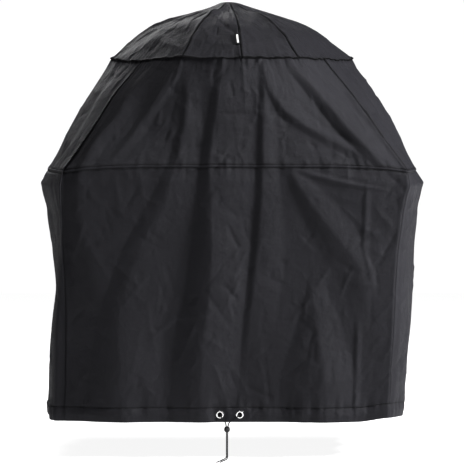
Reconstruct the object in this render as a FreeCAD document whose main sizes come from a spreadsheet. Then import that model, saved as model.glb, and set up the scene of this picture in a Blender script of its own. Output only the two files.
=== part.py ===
import FreeCAD, Part
import math
import os
import re
import Sketcher

# A fitted cover for a kettle grill on a cart, draped over the grill as it is in use.
# Millimetres, +Z up, +X to the right, -Y to the front.  The origin is the underside of
# the crown's tip, where the cover rests on the handle of the lid, so nearly everything
# lies below z = 0.  A "depth" is measured down from there.

Vector = FreeCAD.Vector
Rotation = FreeCAD.Rotation
Placement = FreeCAD.Placement
UP = Vector(0, 0, 1)

# ---------------------------------------------------------------- driving dimensions

SIZES = {
    "cloth": 0.8,
    # crown: a soft dome of eight gores over the round lid
    "tip_radius": 24,
    "knob_radius": 64,
    "knob_depth": 18,
    "brow_radius": 187,
    "brow_depth": 50,
    "rim_radius": 240,
    "rim_depth": 76,
    "crown_radius": 336,
    "crown_depth": 155,
    "crown_turn": 4.5,
    "front_gore_angle": 28,
    "side_gore_angle": 62,
    # skirt: each level is a rectangle of this half width and half depth with bowed sides
    "corner_azimuth": 49,
    "shoulder_depth": 442,
    "shoulder_half_width": 465,
    "shoulder_half_depth": 365,
    "shoulder_front_bow": 8,
    "shoulder_side_bow": 43,
    "shelf_depth": 484,
    "shelf_half_width": 477,
    "shelf_half_depth": 368,
    "shelf_front_bow": 8,
    "shelf_side_bow": 57,
    "waist_depth": 551,
    "waist_half_width": 469,
    "waist_half_depth": 362,
    "waist_front_bow": 7,
    "waist_side_bow": 48,
    "knee_depth": 788,
    "knee_half_width": 462,
    "knee_half_depth": 352,
    "knee_front_bow": 6,
    "knee_side_bow": 32,
    "hem_depth": 1102,
    "hem_half_width": 464,
    "hem_half_depth": 342,
    "hem_front_bow": 6,
    "hem_side_bow": 34,
    # hem: a folded channel for the drawstring
    "hem_height": 35,
    "hem_channel": 6.4,
    "hem_top_turn": 2,
    # eyelets, in the outer wall of the front hem
    "eyelet_left": -33,
    "eyelet_right": 21,
    "eyelet_below_hem": 18,
    "eyelet_bore": 11,
    "eyelet_flange": 22,
    "eyelet_barrel_wall": 0.8,
    "eyelet_flange_height": 1.4,
    "eyelet_curl": 0.5,
    "washer_width": 20,
    "washer_height": 0.6,
    "washer_gap": 0.1,
    # drawstring and its cord lock
    "cord": 2.5,
    "cord_gap": 0.4,
    "hem_corner_bend": 6.5,
    "cord_room": 0.6,
    "lock_side": -13.5,
    "lock_below_eyelets": 40,
    "lock_ahead_of_hem": 6,
    "lock_width": 15,
    "lock_bore": 10.4,
    "plunger_width": 10,
    "lock_wall": 2,
    "press_travel": 4,
    "button_rise": 1.5,
    "spring_room": 8.2,
    "spring_width": 7,
    "spring_wire": 0.6,
    "spring_turns": 5,
    "spring_gap": 0.01,
    "knot_width": 7,
    "knot_height": 9,
    # blank folded label, sewn into the front seam of the crown
    "label_width": 14,
    "label_length": 44,
    "label_height": 1.2,
    "label_depth": 104,
    "label_lift": 0.2,
}

doc = FreeCAD.newDocument("grill_cover")
sheet = doc.addObject("Spreadsheet::Sheet", "sizes")
for row, (name, number) in enumerate(SIZES.items(), start=1):
    sheet.set(f"A{row}", name.replace("_", " "))
    sheet.set(f"B{row}", str(number))
    sheet.setAlias(f"B{row}", name)
doc.recompute()


def size(text):
    """A formula of the sheet's names, worked out."""
    return float(sheet.evalExpression(text))


def bound(text):
    """The same formula, as the other objects of the document read it."""
    return re.sub(r"[a-z_]+", lambda w: f"<<sizes>>.{w[0]}" if w[0] in SIZES else w[0], text)


# ---------------------------------------------------------------- helpers for bodies


def new_body(label):
    body = doc.addObject("PartDesign::Body", label)
    body.Label = label
    return body


def new_sketch(body, name, plane, offset="0"):
    """A sketch on one of the body's own planes, moved along the plane's normal."""
    sketch = body.newObject("Sketcher::SketchObject", f"{body.Name}_{name}")
    sketch.AttachmentSupport = [
        (f, "") for f in body.Origin.OriginFeatures if f.Role == plane
    ]
    sketch.MapMode = "FlatFace"
    sketch.setExpression("AttachmentOffset.Base.z", bound(offset))
    return sketch


def hold(sketch, kind, where, formula, name):
    """A dimension of the sketch that follows a formula of the sheet."""
    index = sketch.addConstraint(Sketcher.Constraint(kind, *where, size(formula)))
    sketch.renameConstraint(index, name)
    sketch.setExpression(f"Constraints.{name}", bound(formula))


def hold_point(sketch, item, end, across, along, name):
    hold(sketch, "DistanceX", (-1, 1, item, end), across, f"{name}_x")
    hold(sketch, "DistanceY", (-1, 1, item, end), along, f"{name}_y")


def outline(sketch, corners):
    """A closed outline of straight lines through corners given as pairs of formulas."""
    points = [Vector(size(x), size(y), 0) for x, y in corners]
    count = len(points)
    for i in range(count):
        sketch.addGeometry(Part.LineSegment(points[i], points[(i + 1) % count]), False)
    for i in range(count):
        sketch.addConstraint(Sketcher.Constraint("Coincident", i, 2, (i + 1) % count, 1))
    for i, (x, y) in enumerate(corners):
        hold_point(sketch, i, 1, x, y, f"corner{i}")


def circle(sketch, across, along, radius, name="ring"):
    item = sketch.addGeometry(
        Part.Circle(Vector(size(across), size(along), 0), UP, size(radius)), False
    )
    hold_point(sketch, item, 3, across, along, name)
    hold(sketch, "Radius", (item,), radius, f"{name}_radius")


def feature(body, kind, name, profile, **settings):
    made = body.newObject(f"PartDesign::{kind}", f"{body.Name}_{name}")
    made.Profile = profile
    for key, value in settings.items():
        if isinstance(value, str) and key in ("Length", "Angle"):
            made.setExpression(key, bound(value))
        else:
            setattr(made, key, value)
    doc.recompute()
    return made


def cut(body, kind, name, profile, **settings):
    """A feature that takes something away; it says so if it took nothing."""
    before = body.Shape.Volume
    made = feature(body, kind, name, profile, **settings)
    if body.Shape.Volume > before - 1e-3:
        raise ValueError(f"{made.Name} cuts nothing")
    return made


def place(body, across, along, up):
    for axis, formula in zip("xyz", (across, along, up)):
        body.setExpression(f"Placement.Base.{axis}", bound(formula))


def turn_about_z(thing, degrees):
    thing.Placement = Placement(thing.Placement.Base, Rotation(UP, degrees))


# ---------------------------------------------------------------- crown

# the underside of the crown, from the tip out to the seam
CROWN_STEPS = [
    ("tip_radius", "0"),
    ("knob_radius", "knob_depth"),
    ("brow_radius", "brow_depth"),
    ("rim_radius", "rim_depth"),
]
SEAM_UNDERSIDE = "crown_radius - cloth * (crown_radius - rim_radius) / (crown_depth - rim_depth)"


def crown_gore(label, middle, angle):
    """One gore: the crown's profile turned through the gore's own angle."""
    body = new_body(label)
    profile = new_sketch(body, "profile", "XZ_Plane")
    outside = [("0", "cloth")]
    outside += [(radius, f"cloth - {depth}") for radius, depth in CROWN_STEPS]
    outside += [("crown_radius", "cloth - crown_depth")]
    inside = [(SEAM_UNDERSIDE, "cloth - crown_depth")]
    inside += [(radius, f"-1 * {depth}") for radius, depth in reversed(CROWN_STEPS)]
    inside += [("0", "0")]
    outline(profile, outside + inside)
    feature(
        body, "Revolution", "turn", profile,
        ReferenceAxis=(profile, ["V_Axis"]), Angle=angle, Midplane=True,
    )
    turn_about_z(body, middle - 90)
    return body


def build_crown():
    """Eight gores, counted from the seam at the front towards +X and round the back."""
    front = size("front_gore_angle")
    side = size("side_gore_angle")
    gores = [
        ("crown_gore_front_right", front), ("crown_gore_side_front_right", side),
        ("crown_gore_side_back_right", side), ("crown_gore_back_right", front),
        ("crown_gore_back_left", front), ("crown_gore_side_back_left", side),
        ("crown_gore_side_front_left", side), ("crown_gore_front_left", front),
    ]
    seam = size("crown_turn")
    made = []
    for label, angle in gores:
        formula = "side_gore_angle" if "side" in label else "front_gore_angle"
        made.append(crown_gore(label, seam + angle / 2, formula))
        seam += angle
    return made


# ---------------------------------------------------------------- skirt and hem

SIDES = [("front", 0), ("right", 90), ("back", 180), ("left", 270)]


def level(name, side):
    """Half length, distance out and bow of one side of the skirt, as formulas."""
    long_side = side in ("front", "back")
    if name == "crown":
        out = "crown_radius * cos(corner_azimuth)"
        across = "crown_radius * sin(corner_azimuth)"
        if not long_side:
            out, across = across, out
        return across, out, f"(crown_radius - {out})"
    width, deep = f"{name}_half_width", f"{name}_half_depth"
    if long_side:
        return width, deep, f"{name}_front_bow"
    return deep, width, f"{name}_side_bow"


def strip(body, name, depth, shape, inset="0", wall="cloth"):
    """A bowed strip between mitred ends: one side of the cover cut level at one depth."""
    across, out, bow = shape
    sketch = new_sketch(body, name, "XY_Plane", f"cloth - ({depth})")
    for skin, taken in (("outer", inset), ("inner", f"({inset} + {wall})")):
        half = f"({across} - {taken})"
        front = f"-1 * ({out} - {taken})"
        radius = f"({half} ^ 2 + {bow} ^ 2) / (2 * {bow})"
        centre = Vector(0, size(front) - size(bow) + size(radius), 0)
        reach = math.asin(size(half) / size(radius))
        arc = sketch.addGeometry(
            Part.ArcOfCircle(
                Part.Circle(centre, UP, size(radius)),
                -math.pi / 2 - reach, -math.pi / 2 + reach,
            ),
            False,
        )
        hold_point(sketch, arc, 1, f"-1 * {half}", front, f"{skin}_left")
        hold_point(sketch, arc, 2, half, front, f"{skin}_right")
        hold(sketch, "Radius", (arc,), radius, f"{skin}_radius")
    for end, name in ((1, "left"), (2, "right")):
        x = 1 if end == 2 else -1
        start = Vector(x * size(f"{across} - {inset}"), -size(f"{out} - ({inset})"), 0)
        finish = start + Vector(-x * size(wall), size(wall), 0)
        line = sketch.addGeometry(Part.LineSegment(start, finish), False)
        sketch.addConstraint(Sketcher.Constraint("Coincident", line, 1, 0, end))
        sketch.addConstraint(Sketcher.Constraint("Coincident", line, 2, 1, end))
    return sketch


def panel(label, side, turn, levels):
    """A skirt panel: strips at its levels joined by ruled faces."""
    body = new_body(label)
    strips = [strip(body, name, f"{name}_depth", level(name, side)) for name in levels]
    feature(body, "AdditiveLoft", "cloth", strips[0], Sections=strips[1:], Ruled=True)
    turn_about_z(body, turn)
    return body


def hem_casing(side, turn):
    """The folded hem: a block along the edge, hollow for the drawstring."""
    body = new_body(f"hem_casing_{side}")
    shape = level("hem", side)
    deep = "cloth * 2 + hem_channel"
    top = strip(body, "top", "hem_depth", shape, wall=f"({deep})")
    edge = strip(body, "edge", "hem_depth + hem_height", shape, wall=f"({deep})")
    feature(body, "AdditiveLoft", "block", top, Sections=[edge], Ruled=True)
    roof = strip(
        body, "roof", "hem_depth + hem_top_turn", shape, inset="cloth", wall="hem_channel"
    )
    floor = strip(
        body, "floor", "hem_depth + hem_height - cloth", shape,
        inset="cloth", wall="hem_channel",
    )
    cut(body, "SubtractiveLoft", "channel", roof, Sections=[floor], Ruled=True)
    if side == "front":
        face = "hem_half_depth + hem_front_bow + 1"
        holes = new_sketch(body, "holes", "XZ_Plane", face)
        for name in ("left", "right"):
            circle(
                holes, f"eyelet_{name}", "cloth - hem_depth - eyelet_below_hem",
                "eyelet_bore / 2 + eyelet_barrel_wall + 0.1", name,
            )
        cut(body, "Pocket", "cloth_holes", holes, Length="cloth + hem_channel / 2 + 1")
    turn_about_z(body, turn)
    return body


def build_skirt():
    made = []
    for side, turn in SIDES:
        made.append(panel(f"upper_skirt_{side}", side, turn, ["crown", "shoulder"]))
        lower = ["shoulder", "shelf", "waist", "knee", "hem"]
        made.append(panel(f"lower_skirt_{side}", side, turn, lower))
        made.append(hem_casing(side, turn))
    return made


# ---------------------------------------------------------------- eyelets

EYELET_HEIGHT = "cloth - hem_depth - eyelet_below_hem"
HEM_FACE = "-1 * (hem_half_depth + hem_front_bow)"


def eyelet(side):
    """A rolled metal ring: a flange outside the cloth and a barrel through it."""
    body = new_body(f"eyelet_{side}")
    profile = new_sketch(body, "profile", "XY_Plane")
    bore = "eyelet_bore / 2"
    barrel = f"{bore} + eyelet_barrel_wall"
    inner_end = "cloth + washer_height + eyelet_curl"
    outline(profile, [
        (bore, "-0.6 * eyelet_flange_height"),
        (f"{bore} + 1.2", "-1 * eyelet_flange_height"),
        ("eyelet_flange / 2 - 1.2", "-1 * eyelet_flange_height"),
        ("eyelet_flange / 2", "-0.4 * eyelet_flange_height"),
        ("eyelet_flange / 2", "0"),
        (barrel, "0"),
        (barrel, inner_end),
        (bore, inner_end),
    ])
    feature(
        body, "Revolution", "ring", profile,
        ReferenceAxis=(profile, ["V_Axis"]), Angle=360.0,
    )
    place(body, f"eyelet_{side}", HEM_FACE, EYELET_HEIGHT)
    return body


def eyelet_washer(side):
    """The flat ring behind the cloth that the barrel is curled over."""
    body = new_body(f"eyelet_washer_{side}")
    rings = new_sketch(body, "rings", "XZ_Plane")
    circle(rings, "0", "0", "washer_width / 2", "rim")
    circle(rings, "0", "0", "eyelet_bore / 2 + eyelet_barrel_wall", "bore")
    feature(body, "Pad", "plate", rings, Length="washer_height")
    behind = f"{HEM_FACE} + cloth + washer_gap + washer_height"
    place(body, f"eyelet_{side}", behind, EYELET_HEIGHT)
    return body


# ---------------------------------------------------------------- cord lock

LOCK_PLACE = (
    "lock_side", f"{HEM_FACE} - lock_ahead_of_hem", f"{EYELET_HEIGHT} - lock_below_eyelets",
)
GRIP = "(cord + cord_room)"  # the gap that is left for the cords while the lock holds
FRONT_OF_GRIP = f"-1 * {GRIP} / 2"
BACK_OF_GRIP = f"{GRIP} / 2"


def cord_slot(body, name, start, finish):
    """The cross hole for the two cords, from one place to another along the barrel."""
    half = "(cord + cord_gap / 2 + cord_room / 2)"
    slot = new_sketch(body, name, "XY_Plane", "lock_width")
    outline(slot, [
        (f"-1 * {half}", start), (half, start), (half, finish), (f"-1 * {half}", finish),
    ])
    cut(body, "Pocket", f"{name}_cut", slot, Length="2 * lock_width")


def cord_lock_body():
    """The barrel: bored from the front for the plunger, slotted across for the cords."""
    body = new_body("cord_lock_body")
    front = f"({FRONT_OF_GRIP} - press_travel - lock_wall)"
    back = f"({BACK_OF_GRIP} + lock_wall + spring_room + lock_wall)"
    profile = new_sketch(body, "profile", "XY_Plane")
    outside = "lock_width / 2"
    bore = "lock_bore / 2"
    outline(profile, [
        (bore, front), (f"{outside} - 1", front), (outside, f"{front} + 1.5"),
        (outside, f"{back} - 2.5"), (f"{outside} - 2", back), ("0", back),
        ("0", f"{back} - lock_wall"), (bore, f"{back} - lock_wall"),
    ])
    feature(
        body, "Revolution", "barrel", profile,
        ReferenceAxis=(profile, ["V_Axis"]), Angle=360.0,
    )
    cord_slot(body, "slot", FRONT_OF_GRIP, f"{BACK_OF_GRIP} + press_travel")
    place(body, *LOCK_PLACE)
    return body


def cord_lock_plunger():
    """The button: its own slot stands forward of the barrel's by the travel."""
    body = new_body("cord_lock_plunger")
    front = f"({FRONT_OF_GRIP} - press_travel - lock_wall - press_travel - button_rise)"
    back = f"({BACK_OF_GRIP} + lock_wall)"
    profile = new_sketch(body, "profile", "XY_Plane")
    outside = "plunger_width / 2"
    outline(profile, [
        ("0", front), (f"{outside} - 1.2", front), (outside, f"{front} + 1.2"),
        (outside, back), ("0", back),
    ])
    feature(
        body, "Revolution", "button", profile,
        ReferenceAxis=(profile, ["V_Axis"]), Angle=360.0,
    )
    cord_slot(body, "slot", f"{FRONT_OF_GRIP} - press_travel", BACK_OF_GRIP)
    place(body, *LOCK_PLACE)
    return body


def cord_lock_spring():
    """A coil between the plunger's end and the closed end of the barrel."""
    body = new_body("cord_lock_spring")
    wire = new_sketch(body, "wire", "XY_Plane")
    start = f"{BACK_OF_GRIP} + lock_wall + spring_wire / 2 + spring_gap"
    circle(wire, "(spring_width - spring_wire) / 2", start, "spring_wire / 2")
    rise = "(spring_room - spring_wire - 2 * spring_gap)"
    coil = body.newObject("PartDesign::AdditiveHelix", "cord_lock_spring_coil")
    coil.Profile = wire
    coil.ReferenceAxis = (wire, ["V_Axis"])
    coil.Mode = "height-turns-angle"
    coil.setExpression("Height", bound(rise))
    coil.setExpression("Turns", bound("spring_turns"))
    doc.recompute()
    place(body, *LOCK_PLACE)
    return body


# ---------------------------------------------------------------- drawstring


def beside_eyelets():
    """The place on the hem's front, at the eyelets' height, that the route starts from."""
    return Vector(0, size(HEM_FACE), size(EYELET_HEIGHT))


def cord_path(points, report):
    """Straight runs through the points, with a tangent arc at each turn."""
    corners = [beside_eyelets() + Vector(*point) for point in points]
    edges, radii, last = [], [], corners[0]
    for before, here, after in zip(corners, corners[1:], corners[2:]):
        come, leave = here - before, after - here
        half_turn = come.getAngle(leave) / 2
        trim = 0.45 * min(come.Length, leave.Length)
        radii.append(trim / math.tan(half_turn))
        come.normalize()
        leave.normalize()
        start, finish = here - come * trim, here + leave * trim
        bisector = (leave - come).normalize()
        middle = here + bisector * radii[-1] * (1 / math.cos(half_turn) - 1)
        edges.append(Part.LineSegment(last, start).toShape())
        edges.append(Part.Arc(start, middle, finish).toShape())
        last = finish
    edges.append(Part.LineSegment(last, corners[-1]).toShape())
    print(report, "radii", [round(radius, 1) for radius in radii])
    return Part.Wire(edges)


def tube(label, path):
    """A round cord along a path, checked against its section times its length."""
    start = path.OrderedEdges[0]
    section = Part.makeCircle(
        size("cord") / 2, start.valueAt(start.FirstParameter),
        start.tangentAt(start.FirstParameter),
    )
    solid = path.makePipeShell([Part.Wire(section)], True, True)
    expected = math.pi * size("cord") ** 2 / 4 * path.Length
    print(label, "length", round(path.Length, 1), "volume share", round(solid.Volume / expected, 4))
    cord = doc.addObject("Part::Feature", label)
    cord.Shape = solid
    return cord


def hem_cord_path(left_end, right_end):
    """Round the hem's channel, from one eyelet the long way to the other."""
    inset = size("cloth + hem_channel / 2")
    bend = size("hem_corner_bend")
    height = size(EYELET_HEIGHT)
    sides = []
    for side, turn in SIDES:
        across, out, bow = [size(formula) for formula in level("hem", side)]
        across, out = across - inset, out - inset
        radius = (across**2 + bow**2) / (2 * bow)
        outward = Rotation(UP, turn).multVec(Vector(0, -1, 0))
        centre = outward * (out + bow - radius) + UP * height
        sides.append((centre, radius))
    corners = []
    for i, (centre, radius) in enumerate(sides):
        other, other_radius = sides[(i + 1) % 4]
        # the bend touches both sides from inside: its centre is this far from each centre
        first, second = radius - bend, other_radius - bend
        apart = other - centre
        along = (first**2 - second**2 + apart.Length**2) / (2 * apart.Length)
        off = math.sqrt(first**2 - along**2)
        apart.normalize()
        middle = centre + apart * along - apart.cross(UP) * off
        start = centre + (middle - centre).normalize() * radius
        finish = other + (middle - other).normalize() * other_radius
        outermost = middle + (middle - UP * middle.z).normalize() * bend
        corners.append((start, outermost, finish))
    front_centre, front_radius = sides[0]

    def on_front(x):
        drop = math.sqrt(front_radius**2 - x**2)
        return Vector(x, front_centre.y - drop, height)

    def on_side(i, start, finish):
        centre, radius = sides[i % 4]
        half_way = (start + finish) * 0.5 - centre
        return Part.Arc(start, centre + half_way.normalize() * radius, finish)

    edges = []
    last = on_front(right_end)
    for i, (start, outermost, finish) in enumerate(corners):
        edges.append(on_side(i, last, start).toShape())
        edges.append(Part.Arc(start, outermost, finish).toShape())
        last = finish
    edges.append(on_side(4, last, on_front(left_end)).toShape())
    return Part.Wire(edges)


# Where each tail leaves the hem, hangs through the cord lock and reaches the knot, from
# the hem's front at the eyelets' height.
TAIL_LEFT = [
    (-45, 4, 0), (-33, 4, 0), (-32.6, -2.6, -1.8),
    (-29, -5.6, -7.8), (-21.5, -6, -16.8), (-14.95, -6, -24.8),
    (-14.95, -6, -93.8), (-14.9, -6.6, -109.8),
]
TAIL_RIGHT = [
    (33, 4, 0), (21, 4, 0), (20.4, -2.6, -1.8),
    (15, -5.6, -6.3), (-1.5, -6, -16.3), (-12.05, -6, -24.8),
    (-12.05, -6, -93.8), (-12.15, -6.5, -109.8),
]
# Past the knot the two ends lie on the floor.
END_LEFT = [
    (-15, -10, -115.4), (-20, -18, -118.8), (-27, -37, -119.4),
    (-33, -62, -119.5), (-41, -92, -119.4),
]
END_RIGHT = [
    (-11.5, -10, -115.4), (-14, -19, -118.9), (-18, -40, -119.5),
    (-26, -64, -119.4), (-31, -89, -119.5),
]


def end_knot():
    """The overhand knot that ties the two tails together, as a plain egg shape."""
    knot = doc.addObject("Part::Feature", "drawstring_knot")
    ball = Part.makeSphere(size("knot_width") / 2)
    stretch = FreeCAD.Matrix()
    stretch.scale(1, 1, size("knot_height / knot_width"))
    knot.Shape = ball.transformGeometry(stretch)
    top = beside_eyelets() + Vector(*TAIL_LEFT[-1])
    knot.Placement = Placement(
        Vector(size("lock_side"), top.y - 1.5, top.z - size("knot_height / 2") + 1.6),
        Rotation(Vector(1, 0, 0), 25),
    )
    return knot


def build_drawstring():
    hem = tube("drawstring_hem", hem_cord_path(TAIL_LEFT[0][0], TAIL_RIGHT[0][0]))
    cords = [hem]
    for label, points in (
        ("drawstring_tail_left", TAIL_LEFT), ("drawstring_tail_right", TAIL_RIGHT),
        ("drawstring_end_left", END_LEFT), ("drawstring_end_right", END_RIGHT),
    ):
        cords.append(tube(label, cord_path(points, label)))
    knot = end_knot()
    for cord in cords[1:]:
        cord.Shape = cord.Shape.cut(knot.Shape)
    return cords + [knot]


# ---------------------------------------------------------------- label


def loop_label():
    """A blank tape label, folded double, that lies on the crown beside the front seam."""
    label = doc.addObject("Part::Box", "loop_label")
    label.setExpression("Length", bound("label_width"))
    label.setExpression("Width", bound("label_length"))
    label.setExpression("Height", bound("label_height"))
    run = size("crown_radius - rim_radius")
    fall = size("crown_depth - rim_depth")
    slope = math.degrees(math.atan2(fall, run))
    down = size("label_depth - rim_depth") / fall
    radius = size("rim_radius") + run * down
    azimuth = size("crown_turn") - math.degrees(size("label_width / 2 + 1") / radius)
    centre = Vector(0, -radius, size("cloth - label_depth"))
    tilt = Rotation(Vector(1, 0, 0), slope)
    corner = Vector(-size("label_width") / 2, -size("label_length") / 2, size("label_lift"))
    lying = Placement(centre + tilt.multVec(corner), tilt)
    label.Placement = Placement(Vector(), Rotation(UP, azimuth)).multiply(lying)
    return label


# ---------------------------------------------------------------- build, check, export


def check(thing):
    states = [thing] + list(getattr(thing, "Group", []))
    for item in states:
        if "Invalid" in item.State or "Error" in item.State:
            raise ValueError(f"{item.Name} is {item.State}")
    shape = thing.Shape
    if shape.isNull() or not shape.isValid() or not shape.Solids:
        raise ValueError(f"{thing.Label} has no sound solid")


parts = build_crown() + build_skirt()
for side in ("left", "right"):
    parts += [eyelet(side), eyelet_washer(side)]
parts += [cord_lock_body(), cord_lock_plunger(), cord_lock_spring()]
parts += build_drawstring()
parts.append(loop_label())
doc.recompute()

os.makedirs("parts", exist_ok=True)
for thing in parts:
    check(thing)
for thing in parts:
    thing.Shape.exportStep(f"parts/{thing.Label}.step")
    print(f"{thing.Label:32s} solids {len(thing.Shape.Solids)} volume {thing.Shape.Volume:12.1f}")
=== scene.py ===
import math
import bmesh
import bpy
import numpy as np
from bpy.props import FloatProperty, FloatVectorProperty, IntProperty, PointerProperty
from mathutils import Matrix, Vector


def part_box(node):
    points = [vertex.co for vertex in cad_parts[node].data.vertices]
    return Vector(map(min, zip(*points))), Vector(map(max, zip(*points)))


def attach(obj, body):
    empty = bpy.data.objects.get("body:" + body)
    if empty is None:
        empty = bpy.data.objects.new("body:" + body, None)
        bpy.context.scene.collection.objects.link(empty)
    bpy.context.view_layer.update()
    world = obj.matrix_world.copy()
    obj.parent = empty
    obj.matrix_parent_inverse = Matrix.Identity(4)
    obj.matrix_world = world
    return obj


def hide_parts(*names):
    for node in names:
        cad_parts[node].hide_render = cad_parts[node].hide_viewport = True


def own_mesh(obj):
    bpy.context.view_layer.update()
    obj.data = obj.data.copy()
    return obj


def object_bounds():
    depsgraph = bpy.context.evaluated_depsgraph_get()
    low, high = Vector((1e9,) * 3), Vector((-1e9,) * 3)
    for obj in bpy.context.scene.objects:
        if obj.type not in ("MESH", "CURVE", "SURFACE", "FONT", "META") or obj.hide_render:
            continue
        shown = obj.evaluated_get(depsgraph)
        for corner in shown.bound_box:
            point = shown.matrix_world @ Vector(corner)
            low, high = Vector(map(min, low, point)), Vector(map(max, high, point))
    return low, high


bl_info = {
    "name": "Grill cover",
    "version": (1, 0, 0),
    "blender": (4, 5, 0),
    "location": "3D View > Sidebar > Grill cover",
    "description": "Builds a draped kettle-grill cover of sewn cloth round its CAD frame",
    "category": "Object",
}

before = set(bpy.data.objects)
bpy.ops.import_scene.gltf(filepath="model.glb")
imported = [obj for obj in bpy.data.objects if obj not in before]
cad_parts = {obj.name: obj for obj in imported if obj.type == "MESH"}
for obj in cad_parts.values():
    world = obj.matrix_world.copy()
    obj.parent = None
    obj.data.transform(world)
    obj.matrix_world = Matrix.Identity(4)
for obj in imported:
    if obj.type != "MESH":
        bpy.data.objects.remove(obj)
CAD_BOX = [list(corner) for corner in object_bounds()]

# ------------------------------------------------------------------ places from the frame

SKIRT_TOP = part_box("upper_skirt_front")[1].z
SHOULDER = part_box("upper_skirt_front")[0].z
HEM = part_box("hem_casing_front")[1].z
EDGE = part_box("hem_casing_front")[0].z
HEM_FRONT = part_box("hem_casing_front")[0].y
CROWN_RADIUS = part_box("crown_gore_side_front_right")[1].x
SHOULDER_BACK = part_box("upper_skirt_back")[1].y
EYELETS = [(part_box(f"eyelet_{s}")[0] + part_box(f"eyelet_{s}")[1]) / 2 for s in ("left", "right")]

# The route of the drawstring, in metres from the hem's front at the eyelets' height.
START = Vector((0, HEM_FRONT, EYELETS[0].z))
TAIL_LEFT = [
    (-0.045, 0.004, 0), (-0.033, 0.004, 0), (-0.0326, -0.0026, -0.0018),
    (-0.029, -0.0056, -0.0078), (-0.0215, -0.006, -0.0168), (-0.01495, -0.006, -0.0248),
    (-0.01495, -0.006, -0.0938), (-0.0149, -0.0066, -0.1098),
]
TAIL_RIGHT = [
    (0.033, 0.004, 0), (0.021, 0.004, 0), (0.0204, -0.0026, -0.0018),
    (0.015, -0.0056, -0.0063), (-0.0015, -0.006, -0.0163), (-0.01205, -0.006, -0.0248),
    (-0.01205, -0.006, -0.0938), (-0.01215, -0.0065, -0.1098),
]
END_LEFT = [
    (-0.015, -0.010, -0.1154), (-0.020, -0.018, -0.1188), (-0.027, -0.037, -0.1194),
    (-0.033, -0.062, -0.1195), (-0.041, -0.092, -0.1194),
]
END_RIGHT = [
    (-0.0115, -0.010, -0.1154), (-0.014, -0.019, -0.1189), (-0.018, -0.040, -0.1195),
    (-0.026, -0.064, -0.1194), (-0.031, -0.089, -0.1195),
]


# ------------------------------------------------------------------ sizes and colours


class CoverSizes(bpy.types.PropertyGroup):
    cell: FloatProperty(
        name="Cloth cell", description="Spacing of the cloth's mesh", default=0.0048,
        unit="LENGTH",
    )
    thickness: FloatProperty(
        name="Cloth thickness", description="Thickness of the coated cloth",
        default=0.0008, unit="LENGTH",
    )
    wrinkle: FloatProperty(
        name="Wrinkle", description="Share of the loose wrinkles between the folds",
        default=1.0, subtype="FACTOR",
    )
    stitch: FloatProperty(
        name="Stitch pitch", description="Distance from one stitch to the next",
        default=0.0055, unit="LENGTH",
    )
    cord: FloatProperty(
        name="Cord", description="Diameter of the drawstring", default=0.0025,
        unit="LENGTH",
    )
    seed: IntProperty(name="Seed", description="Choice of the small wrinkles", default=11)


class CoverColours(bpy.types.PropertyGroup):
    cloth: FloatVectorProperty(
        name="Cloth", description="Coated polyester", subtype="COLOR", size=3,
        default=(0.033, 0.0325, 0.038),
    )
    thread: FloatVectorProperty(
        name="Thread", description="Sewing thread", subtype="COLOR", size=3,
        default=(0.028, 0.028, 0.031),
    )
    cord: FloatVectorProperty(
        name="Cord", description="Braided drawstring", subtype="COLOR", size=3,
        default=(0.020, 0.020, 0.022),
    )
    metal: FloatVectorProperty(
        name="Metal", description="Nickel plate of the eyelets", subtype="COLOR", size=3,
        default=(0.86, 0.86, 0.86),
    )
    floor: FloatVectorProperty(
        name="Floor", description="Studio floor", subtype="COLOR", size=3,
        default=(0.45, 0.45, 0.45),
    )


# ------------------------------------------------------------------ shader expressions


class Socket:
    """A shader socket that can be used in sums, products and comparisons."""

    def __init__(self, tree, socket):
        self.tree = tree
        self.socket = socket

    def maths(self, operation, *others):
        node = self.tree.nodes.new("ShaderNodeMath")
        node.operation = operation
        for slot, value in zip(node.inputs, (self, *others)):
            link(self.tree, slot, value)
        return Socket(self.tree, node.outputs[0])

    def __add__(self, other):
        return self.maths("ADD", other)

    def __radd__(self, other):
        return self.maths("ADD", other)

    def __mul__(self, other):
        return self.maths("MULTIPLY", other)

    def __rmul__(self, other):
        return self.maths("MULTIPLY", other)

    def __sub__(self, other):
        return self.maths("SUBTRACT", other)

    def __rsub__(self, other):
        return (self * -1) + other

    def sine(self):
        return self.maths("SINE")

    def size(self):
        return self.maths("ABSOLUTE")

    def power(self, other):
        return self.maths("POWER", other)


def link(tree, slot, value):
    if isinstance(value, Socket):
        tree.links.new(value.socket, slot)
    else:
        slot.default_value = value


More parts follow.
